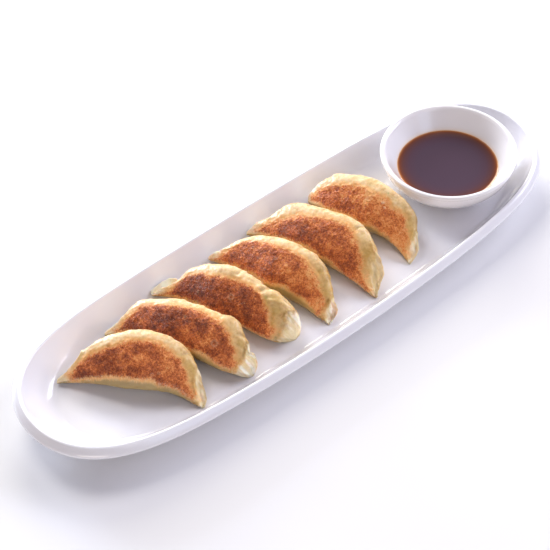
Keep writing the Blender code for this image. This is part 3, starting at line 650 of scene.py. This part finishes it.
def make_bowl(finish):
    low = FLOOR_HEIGHT + 0.02 * MM
    under = low + 1.3 * MM
    foot = BOWL_FOOT_RADIUS
    outside = [(4.0 * MM, under), (foot - 4.4 * MM, under), (foot - 3.2 * MM, low + 0.15 * MM), (foot - 2.8 * MM, low), (foot - 0.6 * MM, low), (foot, low + 0.5 * MM), (foot + 0.1 * MM, low + BOWL_FOOT_HEIGHT)]
    wall_top = BOWL_TOP - BOWL_LIP
    for k in range(1, 22):
        t = k / 22 * pi / 2
        outside.append((foot + (BOWL_RADIUS - 0.9 * MM - foot) * sin(t), low + BOWL_FOOT_HEIGHT + (wall_top - low - BOWL_FOOT_HEIGHT) * (1 - cos(t)) ** 0.78))
    outside += [(BOWL_RADIUS - 0.9 * MM, wall_top - 0.1 * MM), (BOWL_RADIUS - 0.35 * MM, wall_top + 0.15 * MM), (BOWL_RADIUS, wall_top + 0.6 * MM), (BOWL_RADIUS, BOWL_TOP - 1.0 * MM), (BOWL_RADIUS - 0.25 * MM, BOWL_TOP - 0.3 * MM), (BOWL_RADIUS - 0.9 * MM, BOWL_TOP)]
    inside = [(BOWL_RADIUS - BOWL_LIP + 0.8 * MM, BOWL_TOP), (BOWL_RADIUS - BOWL_LIP + 0.1 * MM, BOWL_TOP - 0.4 * MM)]
    for k in range(14):
        height = BOWL_TOP - 1.2 * MM - (BOWL_TOP - 1.2 * MM - SAUCE_TOP) * k / 13
        inside.append((bowl_inside_radius(height), height))
    for k in range(1, 22):
        height = SAUCE_TOP - (SAUCE_TOP - BOWL_WELL_HEIGHT) * sin(k / 21 * pi / 2)
        inside.append((bowl_inside_radius(height), height))
    inside.append((5.0 * MM, BOWL_WELL_HEIGHT))
    steps = rounded(outside + inside, 1)
    obj = turned("sauce_bowl_body", steps, finish)
    # painted glow: how strongly the amber light through the sauce's edge is painted on the inner wall, fading within
    # about a millimetre above the sauce
    above = np.array([(height - SAUCE_TOP) / MM for _, height in steps])
    within = np.array([radius < BOWL_RADIUS - 0.9 * BOWL_LIP for radius, _ in steps]) & (np.arange(len(steps)) > len(steps) // 2)
    store(obj, "sauce_glow", np.repeat(np.where(within, np.exp(-np.maximum(above, 0.0) / 0.8), 0.0), len(obj.data.vertices) // len(steps)))
    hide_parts("sauce_bowl")
    return obj


def make_sauce(finish):
    bottom = BOWL_WELL_HEIGHT + 0.02 * MM
    wall = [(6.0 * MM, bottom), (BOWL_WELL_RADIUS - GAP, bottom)]
    for k in range(1, 12):
        height = bottom + (SAUCE_TOP - bottom) * (1 - cos(k / 12 * pi / 2))
        wall.append((bowl_inside_radius(height - 0.1 * MM) - 0.05 * MM, height))
    reach = bowl_inside_radius(SAUCE_TOP + 0.30 * MM) + 0.02 * MM
    top = []
    for away in (0.0, 0.12, 0.3, 0.5, 0.8, 1.1, 1.5, 2.0, 2.6, 3.3, 4.2, 5.3, 6.6, 8.2, 10.5, 14.0, 19.0, 25.0, 29.0):
        top.append((reach - away * MM, SAUCE_TOP - 0.02 * MM + 0.34 * MM * float(np.exp(-away / 0.75))))
    obj = turned("soy_sauce_liquid_body", wall + top, finish)
    count = len(wall) + len(top)
    away = np.array([0.0] * len(wall) + [(reach - radius) / MM for radius, _ in top])
    store(obj, "from_edge", np.repeat(away, len(obj.data.vertices) // count))
    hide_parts("soy_sauce")
    return obj


# ------------------------------------------------------------------ dumplings
def resampled(line, extra, count, weight=None):
    """count points evenly along a polyline (points, 2), with its extra columns."""
    step = np.hypot(*np.diff(line, axis=0).T)
    if weight is not None:
        step = step * 0.5 * (weight[1:] + weight[:-1])
    length = np.concatenate([[0.0], np.cumsum(step)])
    at = np.linspace(0.0, length[-1], count)
    return np.stack([np.interp(at, length, line[:, k]) for k in range(2)], -1), np.stack([np.interp(at, length, extra[:, k]) for k in range(extra.shape[1])], -1)


def seam_fold(t):
    """The pleats: each rises slowly and drops steeply to the next, -0.5..0.5."""
    phase = PLEATS * t + 0.25 + 0.10 * np.sin(2 * pi * 1.7 * t)
    part = phase - np.floor(phase)
    drop = 0.16
    return np.where(part < 1 - drop, part / (1 - drop), (1 - part) / drop) - 0.5


def knots(points, t):
    """A smooth line through a few (place, value) points."""
    xs, ys = np.array([p[0] for p in points]), np.array([p[1] for p in points])
    fine = np.linspace(0.0, 1.0, 401)
    line = np.interp(fine, xs, ys)
    kernel = np.exp(-(np.linspace(-2, 2, 11) ** 2))
    padded = np.concatenate([np.full(5, line[0]), line, np.full(5, line[-1])])
    return np.interp(t, fine, np.convolve(padded, kernel / kernel.sum(), mode="valid"))


def make_dumpling(node, finish):
    size = DUMPLINGS[node]
    number = int(node[-1])
    ax, ay = (v * MM for v in size["left"])
    bx, by = (v * MM for v in size["right"])
    length = sqrt((bx - ax) ** 2 + (by - ay) ** 2)
    ux, uy = (bx - ax) / length, (by - ay) / length
    bow = size["bow"] * MM

    def ground(t):
        skewed = t + size["skew"] * t * (1 - t)
        out = bow * (1 - np.abs(2 * skewed - 1) ** 2.2)
        return ax + ux * length * t - uy * out, ay + uy * length * t + ux * out

    t = np.linspace(0.0, 1.0, STATIONS)
    t = 0.4 * (0.5 - 0.5 * np.cos(pi * t)) + 0.6 * t
    x, y = ground(t)
    x0, y0 = ground(np.maximum(t - 0.01, 0.0))
    x1, y1 = ground(np.minimum(t + 0.01, 1.0))
    step = np.hypot(x1 - x0, y1 - y0)
    nx, ny = -(y1 - y0) / step, (x1 - x0) / step
    along = np.concatenate([[0.0], np.cumsum(np.hypot(np.diff(x), np.diff(y)))])
    left, right = np.maximum(1 - 2 * t, 0.0), np.maximum(2 * t - 1, 0.0)
    full = np.maximum(1 - left ** size["blunt_left"][0], 0.0) ** size["blunt_left"][1]
    full = full * np.maximum(1 - right ** size["blunt_right"][0], 0.0) ** size["blunt_right"][1]
    half = END_HALF_WIDTH + (size["half_width"] * MM - END_HALF_WIDTH) * full
    depth = END_DEPTH + (size["depth"] * MM - END_DEPTH) * full
    shoulder = 0.75 * MM + (size["shoulder"] * MM - 0.75 * MM) * full
    tilt = radians(size["tilt"]) * (0.5 + 0.5 * full) + radians(size["lean"]) * (right - left) * full
    flap = size["flap"] + (size["flap_left"] - size["flap"]) * left**2 + (size["flap_right"] - size["flap"]) * right**2
    flap = flap * MM * np.maximum(1 - left**14, 0.0) ** 0.5 * np.maximum(1 - right**14, 0.0) ** 0.5
    pleat = 2 * seam_fold(t) * full
    flap = flap + 0.25 * MM + 0.8 * PLEAT_DEPTH * pleat
    lobe_at, lobe = size["lobe"]
    corner = 1 + size["corner"] * np.exp(-(((t - 0.76) / 0.10) ** 2)) + lobe * np.exp(-(((t - lobe_at) / 0.055) ** 2)) + knots(size["bulge"], t)
    far, near = knots(size["far"], t), knots(size["near"], t)

    turn = np.linspace(-pi / 2 + 0.28, 3 * pi / 2 - 0.28, 900)
    c, s = np.cos(turn), np.sin(turn)
    power = np.where(s >= 0, 2 / FACE_POWER, 2 / BELLY_POWER)
    across, up = np.sign(c) * np.abs(c) ** power, np.sign(s) * np.abs(s) ** power
    reach = np.where(s >= 0, c, np.sign(c) * (2 - np.abs(c)))  # goes on past 1 on the underside
    lift = FLOOR_HEIGHT + 0.03 * MM
    brim = np.array(size["brim"])
    brim_out, brim_up = (MM * np.interp(t, brim[:, 0], brim[:, k]) for k in (1, 2))
    pressed = max(size["pressed"], 1.0) * MM
    crease_far = max(size["crease"], key=lambda point: point[1])[0]
    on_brim = smoothstep(0.0, pressed, along - np.interp(crease_far, t, along))
    if not size["pressed"]:
        on_brim = smoothstep(brim[0, 0] - 0.035, brim[0, 0], t)
    crease = np.array(size["crease"])
    crease = crease[np.argsort(crease[:, 1])]
    tab = np.array(size.get("tab", ((0.0, 0.0, 0.0), (1.0, 0.0, 0.0))))
    tab_out, tab_up = (MM * np.interp(t, tab[:, 0], tab[:, k], right=0.0) for k in (1, 2))
    body, marks, brim_at = [], [], []
    for i in range(STATIONS):
        wide = half[i] * across * (1 + (corner[i] - 1) * np.maximum(c, 0.0))
        wide = wide + np.where((s < 0) & (c > 0), 0.5 * PLEAT_DEPTH * pleat[i] * np.abs(s), 0.0)
        high = np.where(s >= 0, depth[i] - shoulder[i] + shoulder[i] * up, (depth[i] - shoulder[i]) * (1 + up))
        n = wide * cos(tilt[i]) - high * sin(tilt[i])
        z = wide * sin(tilt[i]) + high * cos(tilt[i])
        z = z - z.min()
        line, extra = resampled(np.stack([n, z], -1), np.stack([reach, s], -1), BODY_POINTS, np.where(s > 0, 1.5, 1.0))
        thick = FLAP_THICKNESS
        edge = max(n[0], 0.0) + flap[i]
        edge = edge + (brim_out[i] - 0.25 * brim_up[i] - edge) * on_brim[i]
        edge, tipped = max(edge, tab_out[i]), tab_up[i]
        b = int(np.argmin(np.abs(extra[:, 1] - 0.3) + 9.0 * (extra[:, 0] < 0)))
        if size["pressed"]:
            # past the crease the two skins lie pressed together: a thin fan, hollowed between
            # the near shoulder and a raised far edge
            a = int(np.argmin(np.abs(extra[:, 0] + 0.72) + 9.0 * (extra[:, 1] < 0)))
            w, u = np.arange(b)[:, None] / b, np.arange(a - b + 1)[:, None] / (a - b)
            foot = np.array([edge - 0.8 * thick, 0.9 * thick])
            top = np.array([brim_out[i], brim_up[i]])
            fan = top + (line[a] - top) * u
            fan[:, 1:] -= min(size["dish"] * MM, 0.3 * brim_up[i]) * np.sin(pi * u**0.8) ** 1.3
            begins = np.interp(np.interp(extra[: a + 1, 0], crease[:, 1], crease[:, 0]), t, along)
            press = smoothstep(0.0, pressed, along[i] - begins)
            press[b:] *= smoothstep(0.0, 0.25, 1 - u[:, 0])
            line[: a + 1] += (np.concatenate([foot + (top - foot) * w, fan]) - line[: a + 1]) * press[:, None]
            for _ in range(3):
                soft = 0.5 * line[1:-1] + 0.25 * (line[2:] + line[:-2])
                line[1 : b + 8] += (soft[: b + 7] - line[1 : b + 8]) * press[b]
        outline = [(n[-1], z[-1]), (0.5 * n[-1], 0.0), (0.4 * edge, 0.0), (edge - 0.6 * thick, 0.85 * tipped), (edge - 0.12 * thick, 0.14 * thick + tipped), (edge, 0.5 * thick + tipped), (edge - 0.12 * thick, 0.86 * thick + tipped), (edge - 0.5 * thick, thick + 0.95 * tipped)]
        for share in (0.82, 0.64, 0.45):
            at = line[0, 0] + (edge - line[0, 0]) * share
            outline.append((at, max(thick, 0.6 * line[0, 1]) + tipped * share**2))
        outline = np.array(outline + [tuple(line[0])])
        seam, _ = resampled(outline, outline, FLAP_POINTS + 2)
        body.append(np.concatenate([line, seam[1:-1]]))
        share = np.linspace(0.0, 1.0, FLAP_POINTS)
        marks.append(np.concatenate([extra, np.stack([np.full(FLAP_POINTS, 3.0), share], -1)]))
        brim_at.append(b)
    body, marks = np.array(body), np.array(marks)
    reach, side = marks[..., 0], marks[..., 1]
    on_flap = reach > 2.5
    count = body.shape[1]

    # soften the crease between the body and its seam, on the far side
    for _ in range(6):
        smooth = 0.5 * body + 0.25 * (np.roll(body, 1, axis=1) + np.roll(body, -1, axis=1))
        hold = np.ones((STATIONS, count))
        hold[:, BODY_POINTS + 20 :] = 0.0
        hold[:, :10] = 0.0
        body = body * hold[..., None] + smooth * (1 - hold[..., None])

    rise = END_RISE * left**5
    P = np.stack([x[:, None] + nx[:, None] * body[..., 0], y[:, None] + ny[:, None] * body[..., 0], lift + rise[:, None] + body[..., 1]], -1)

    T = np.broadcast_to(t[:, None], (STATIONS, count))
    L = np.broadcast_to(along[:, None], (STATIONS, count)) / MM
    F = np.broadcast_to(full[:, None], (STATIONS, count))
    H = np.broadcast_to(half[:, None], (STATIONS, count)) / MM
    top = (side > 0) & ~on_flap
    # mm inside the crust's edge
    inside = np.minimum((far[:, None] - reach) * H, (reach - near[:, None]) * H)
    inside = np.minimum(inside, np.minimum((T - size["far"][0][0]), (size["far"][-1][0] + 0.01 - T)) * along[-1] / MM)
    inside = np.where(on_flap, -9.0, np.clip(inside, -9.0, 12.0))
    crusty = smoothstep(-0.6, 1.0, inside)

    where = P / MM + np.array([31.0 * number, -17.0 * number, 0.0])
    across_mm = np.where(on_flap, 22.0 + side, reach * H)
    skin = np.stack([L, across_mm, np.full(L.shape, 40.0 * number)], -1)

    def normals(points):
        du = np.gradient(points, axis=0)
        dv = 0.5 * (np.roll(points, -1, axis=1) - np.roll(points, 1, axis=1))
        found = np.cross(dv, du)
        found /= np.maximum(np.linalg.norm(found, axis=-1, keepdims=True), 1e-12)
        outward = points - points.mean(1, keepdims=True)
        return found * np.sign(np.median(np.einsum("ijk,ijk->ij", found, outward)))

    def spot_on(at_t, at_c):
        i = int(np.argmin(np.abs(t - at_t)))
        return i, int(np.argmin(np.where(top[i], np.abs(reach[i] - at_c), 9.0)))

    def line_on(points, each=10):
        """Points of the skin along a line of (along, across) places."""
        places = []
        for (t0, c0), (t1, c1) in zip(points[:-1], points[1:]):
            places += [P[spot_on(t0 + (t1 - t0) * k / each, c0 + (c1 - c0) * k / each)] for k in range(each + 1)]
        return np.array(places)

    def away_from(places):
        """Distance of every point from a line, in mm."""
        found = np.full(L.shape, 1e9)
        for place in places:
            found = np.minimum(found, np.einsum("ijk,ijk->ij", P - place, P - place))
        return np.sqrt(found) / MM

    # ---- past the crease the body gives way to a thin pinched fan
    N = normals(P)
    past = T - np.interp(reach, crease[:, 1], crease[:, 0])
    past = np.where(on_flap, T - crease[-1, 0], past)
    gap = away_from(line_on(size["crease"]))
    beyond = np.where(past > 0, gap, -gap)
    deep, width, hold, stop = size["fan"]
    room = np.minimum(1.0, 0.36 * depth[:, None] / MM / max(abs(deep), 1e-6))
    sunk = deep * room * smoothstep(0.0, width, beyond) * (1 - smoothstep(hold, stop, beyond))
    sunk = sunk * (1 + size["flank"] * smoothstep(0.15, 0.85, reach))
    sunk = sunk * np.where(on_flap, 0.0, smoothstep(-1.0, -0.55, reach) * smoothstep(0.3, 3.0, (P[..., 2] - lift) / MM))
    P = P - N * (sunk * MM)[..., None]
    fanned = smoothstep(-0.4, 1.2, beyond + 1.1 * fractal(where, 3.2, 83, 2) + 0.4 * noise(where, 1.1, 89))
    creamy = smoothstep(width - 1.1, 1.7 * width + (4.2 if number == 3 else 0.2), beyond + 1.3 * fractal(where, 3.2, 83, 2) + 0.5 * noise(where, 1.1, 89))
    creamy = creamy * (1 - 0.6 * smoothstep(0.95, 1.5, reach))
    # painted shade along the crease before the fan
    crease_shade = size["shade"] * np.exp(-(((beyond - 0.9) / 1.1) ** 2)) * np.where(on_flap, 0.0, 1.0)
    strength, rim_width, rim_from, rim_to = size["rim"]
    brown_rim = strength * smoothstep(rim_from - 0.008, rim_from + 0.008, T) * smoothstep(rim_to + 0.005, rim_to - 0.005, T)
    brown_rim = brown_rim * np.where(on_flap, 0.0, (reach > 0) * smoothstep(rim_width + 0.5, rim_width - 0.3, np.linalg.norm(P - P[np.arange(STATIONS), brim_at][:, None], axis=-1) / MM + 0.5 * noise(where, 1.7, 91)))

    # ---- large forms: lumps of the filling, pleats up the far side, pinched ends
    N = normals(P)
    bent = np.zeros_like(L)
    for t0, c0, t1, c1, high, wide in size["folds"]:
        away = away_from(line_on(((t0, c0), (t1, c1)), 12))
        bent = bent + high * np.exp(-((away / wide) ** 2))
        # painted shade: grooves darken the dough, ridges take some of that shade away
        crease_shade = crease_shade + (0.9 if high < 0 else -0.5) * np.exp(-((away / wide) ** 2)) * min(abs(high) / 0.5, 1.2)
    P = P + N * (np.where(on_flap, 0.0, bent) * MM)[..., None]
    N = normals(P)
    lump = 0.42 * fractal(where, 13.0, 3, 2) * F
    far_side = np.where(on_flap, 0.0, np.where(reach > 0, np.where(side < 0, 1.0, np.clip(1 - side * 1.6, 0.0, 1.0) * 0.55), 0.0))
    ridges = 0.85 * seam_fold(T + 0.010 * (reach - 1)) * far_side * F * smoothstep(0.05, 0.5, 2.0 - reach)
    height = (lump * np.where(on_flap, 0.0, 1.0) + ridges) * MM
    P = P + N * height[..., None]

    # ---- wrinkles of the dough, stretched across, and the rough blistered crust
    N = normals(P)
    stretched = skin * np.array([1.0, 0.33, 1.0])
    wrinkle = fractal(stretched, 3.4, 11, 3, 0.5) + 0.9 * fractal(where, 2.6, 103, 2)
    ends = np.clip(np.abs(2 * T - 1), 0.0, 1.0) ** 3
    doughy = (1 - crusty) * (0.16 + 0.18 * ends) * np.where(reach < 0, 0.6, 1.0)
    rough = 0.20 * fractal(where, 3.0, 23, 2) + 0.17 * fractal(where, 1.35, 29, 2, 0.6)
    pit, own = cells(where, 2.1, 31)
    blister, blister_own = cells(where + 7.0, 2.6, 37)
    domes = np.where(blister_own > 0.25, np.clip(0.42 - blister, 0.0, 1.0) * 1.1, 0.0)
    edge_band = np.exp(-((inside - 0.3) ** 2) / 2.0)
    lines = skin * np.array([0.30, 1.0, 1.0])
    pinched = fanned * np.where(on_flap, 0.0, 1.0) * (0.10 + 0.28 * size["cream"]) * fractal(lines, 2.4, 71, 2, 0.5)
    texture = crusty * (rough - 0.28 * np.clip(0.33 - pit, 0.0, 1.0) * (own > -0.1) + domes * 0.35) + edge_band * domes * 0.5
    height = np.where(on_flap, 0.0, doughy * wrinkle + texture + pinched)
    pale, amber, green, olive = (np.zeros_like(L) for _ in range(4))
    for at_t, at_c, radius, kind in size["spots"]:
        i, j = spot_on(at_t, at_c)
        away = np.linalg.norm(P - P[i, j], axis=-1) / MM
        away = away + 0.18 * radius * noise(where, 1.3, 51)
        if kind == "ring":
            band = np.exp(-(((away - radius) / (0.30 * radius + 0.12)) ** 2))
            height = height + 0.26 * band - 0.16 * smoothstep(radius, 0.5 * radius, away)
            pale = np.maximum(pale, 0.26 * band)
        elif kind == "blister":
            height = height + 0.5 * np.clip(1 - (away / radius) ** 2, 0.0, 1.0)
            pale = np.maximum(pale, 0.62 * smoothstep(1.1 * radius, 0.2 * radius, away))
        elif kind == "amber":
            amber = np.maximum(amber, smoothstep(1.3 * radius, 0.4 * radius, away))
        elif kind == "green":
            green = np.maximum(green, smoothstep(1.4 * radius, 0.3 * radius, away))
        elif kind == "olive":
            olive = np.maximum(olive, smoothstep(1.5 * radius, 0.2 * radius, away))
    P = P + N * (height * MM)[..., None]

    # ---- the seam's outer edge waves a little and is nowhere quite straight
    share = np.where(on_flap, np.sin(pi * np.clip(side, 0.0, 1.0)) ** 0.7, 0.0)
    wave = noise(np.stack([L, 0 * L, 0 * L + 7.0 * number], -1), 6.0, 61)
    P[..., 2] = P[..., 2] + share * np.clip(0.25 + 0.75 * wave, 0.0, 1.2) * 0.9 * MM * smoothstep(0.02, 0.1, T)
    P[..., 2] = np.maximum(P[..., 2], lift)

    golden = np.exp(-((np.maximum((far[:, None] - reach) * H, 0.0) / 3.4) ** 1.3))
    tone = size["tone"] + 0.32 * (T - 0.55) + 0.32 * golden * (1 - 0.6 * smoothstep(0.55, 0.80, T)) - 0.07 * np.exp(-((np.maximum((reach - near[:, None]) * H, 0.0) / 1.6) ** 2))
    for at_t, at_c, radius, amount in size["patches"]:
        i, j = spot_on(at_t, at_c)
        tone = tone + amount * np.exp(-((np.linalg.norm(P - P[i, j], axis=-1) / (radius * MM)) ** 2))

    # round off the two ends, which are only a couple of millimetres across
    def cap(ring, outer):
        centre = ring.mean(0)
        push = (centre - outer.mean(0)) / max(np.linalg.norm(centre - outer.mean(0)), 1e-9)
        return [centre + (ring - centre) * cos(a) + push * sin(a) * 0.6 * MM for a in (0.35, 0.7, 1.05, 1.35)]

    head, tail = cap(P[0], P[1]), cap(P[-1], P[-2])
    rings = np.concatenate([np.array(head[::-1]), P, np.array(tail)])
    rings[..., 2] = np.maximum(rings[..., 2], lift)

    def padded(values):
        return np.concatenate([np.repeat(values[:1], 4, axis=0), values, np.repeat(values[-1:], 4, axis=0)])

    obj = ring_mesh(node + "_dough", rings)
    store(obj, "crust", padded(inside))
    store(obj, "tone", padded(tone))
    store(obj, "thin", padded(np.where(on_flap, 0.8, 0.6 * smoothstep(0.30, 0.02, F))))
    # pale cream of the pinched fans; the left tips and the tab are also lifted to cream as painted light, since they
    # sit in shade
    pale_ends_and_glow = np.maximum(size["cream"] * creamy, (0.75 if number > 1 else 0.3) * smoothstep(0.10, 0.03, T))
    store(obj, "cream", padded(np.maximum(pale_ends_and_glow, np.where(on_flap, 0.95 * smoothstep(4.0 * MM, 7.0 * MM, tab_out)[:, None], 0.0))))
    store(obj, "rim", padded(brown_rim))
    # painted shade on the near underside, strongest low down and weaker on the fans
    height_mm = (P[..., 2] - lift) / MM + 1.2 * noise(where, 5.0, 97)
    store(obj, "painted_belly_shade", padded(np.where(on_flap, 0.0, smoothstep(-0.60, -0.83, reach) * smoothstep(20.0, 11.5, height_mm) * (1 - 0.6 * fanned))))
    # mask of the right ends: painted shade on their dough, and a sharper end to the crust's edge there
    store(obj, "golden", padded(np.where(on_flap, 0.5, 0.55 if number in (2, 3) else 1.0) * smoothstep(0.70, 0.86, T + 0.03 * noise(where, 7.0, 101)) * (1 - size["cream"] * creamy)))
    near_edge = np.exp(-(((reach - near[:, None]) * H / 1.6) ** 2)) * np.where(on_flap | (side < 0), 0.0, 1.0)
    store(obj, "fringe", padded(near_edge * (0.55 if node == "gyoza_1" else 0.35)))
    # painted shade in the far pleat valleys, in wrinkle hollows and along creases and grooves
    store(obj, "painted_fold_shade", padded(np.clip(-2.0 * seam_fold(T) * far_side * F, 0.0, 1.0) * 0.5 + np.clip(-wrinkle, 0.0, 1.0) * 0.35 + 0.8 * np.clip(crease_shade, -0.3, 1.0)))
    store(obj, "pale", padded(pale))
    store(obj, "amber", padded(amber))
    store(obj, "green", padded(green))
    store(obj, "olive", padded(olive))
    store_vector(obj, "skin", padded(skin))
    obj.data.materials.append(finish)
    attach(obj, "root")
    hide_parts(node)
    return obj


# ------------------------------------------------------------------ stage, light, camera
def make_floor():
    side = 1.6
    mesh = bpy.data.meshes.new("pale_floor")
    mesh.from_pydata([(-side, -side, 0), (side, -side, 0), (side, side, 0), (-side, side, 0)], [], [(0, 1, 2, 3)])
    floor = bpy.data.objects.new("pale_floor", mesh)
    bpy.context.scene.collection.objects.link(floor)
    floor.location.z = -0.0002
    floor.data.materials.append(floor_material())
    return floor


def area_light(name, azimuth, elevation, distance, width, height, power, colour=(1, 1, 1), aim=(0, 0, 0.01)):
    """A rectangular lamp in that direction from the plate: azimuth from +Y towards +X."""
    az, el = radians(azimuth), radians(elevation)
    aim = Vector(aim)
    spot = aim + distance * Vector((sin(az) * cos(el), cos(az) * cos(el), sin(el)))
    data = bpy.data.lights.new(name, "AREA")
    data.shape = "RECTANGLE"
    data.size, data.size_y = width, height
    data.energy = power
    data.color = colour
    lamp = bpy.data.objects.new(name, data)
    lamp.matrix_world = Matrix.Translation(spot) @ (aim - spot).to_track_quat("-Z", "Y").to_matrix().to_4x4()
    bpy.context.scene.collection.objects.link(lamp)
    return lamp


def make_world(colour, strength):
    world = bpy.data.worlds.new("studio")
    world.use_nodes = True
    background = world.node_tree.nodes["Background"]
    background.inputs["Color"].default_value = (*colour, 1.0)
    background.inputs["Strength"].default_value = strength
    # what is seen past the floor's edge is as pale as the floor, without lighting the scene
    nodes, links = world.node_tree.nodes, world.node_tree.links
    seen = nodes.new("ShaderNodeBackground")
    seen.inputs["Color"].default_value = (0.90, 0.89, 0.93, 1.0)
    seen.inputs["Strength"].default_value = 1.0
    path = nodes.new("ShaderNodeLightPath")
    either = nodes.new("ShaderNodeMixShader")
    links.new(path.outputs["Is Camera Ray"], either.inputs[0])
    links.new(background.outputs[0], either.inputs[1])
    links.new(seen.outputs[0], either.inputs[2])
    links.new(either.outputs[0], nodes["World Output"].inputs["Surface"])
    bpy.context.scene.world = world


def make_camera():
    az, el, roll = radians(-37.268), radians(48.172), radians(-2.806)
    aim = Vector((-0.004342, 0.012732, 0.0))
    back = Vector((sin(az) * cos(el), -cos(az) * cos(el), sin(el)))
    across = Vector((cos(az), sin(az), 0.0))
    up = back.cross(across)
    r = across * cos(roll) + up * sin(roll)
    u = -across * sin(roll) + up * cos(roll)
    data = bpy.data.cameras.new("camera")
    data.sensor_width = 36.0
    data.lens = 96.26
    data.clip_start = 0.01
    camera = bpy.data.objects.new("camera", data)
    camera.matrix_world = Matrix.Translation(aim + 0.875136 * back) @ Matrix((r, u, back)).transposed().to_4x4()
    bpy.context.scene.collection.objects.link(camera)
    bpy.context.scene.camera = camera


make_camera()
make_floor()
make_world((1.0, 0.88, 1.0), 0.170)
area_light("window_low", 0.0, 12.0, 2.4, 0.9, 0.9, 72.0, (0.74, 0.83, 1.0))
area_light("window_right", 30.0, 28.0, 2.4, 0.9, 0.9, 35.0, (1.0, 0.96, 0.84))
area_light("window_high", 0.0, 52.0, 2.4, 0.9, 0.9, 20.5, (1.0, 0.96, 0.93))
area_light("top_near", 185.0, 45.0, 2.4, 0.9, 0.9, 4.0, (1.0, 0.98, 0.96))
area_light("side", 90.0, 30.0, 2.4, 0.9, 0.9, 29.0, (0.84, 0.86, 1.0))
area_light("side_near", 115.0, 28.0, 2.4, 0.9, 0.9, 20.0, (0.81, 0.82, 1.0))
area_light("fill_low", 228.0, 14.0, 2.4, 1.2, 0.8, 15.0, (1.0, 0.88, 0.82))
area_light("fill", 175.0, 28.0, 2.4, 0.9, 0.9, 4.9, (0.62, 0.76, 1.0))
bpy.context.scene.view_settings.view_transform = "Standard"

make_plate(porcelain("plate_glaze", (0.835, 0.83, 0.86), (0.82, 0.81, 0.845)))
make_bowl(porcelain("bowl_glaze", (0.86, 0.835, 0.84), (0.845, 0.815, 0.82), sauce_glow=True))
make_sauce(sauce_material())
dough = dumpling_material()
for name in DUMPLINGS:
    make_dumpling(name, dough)
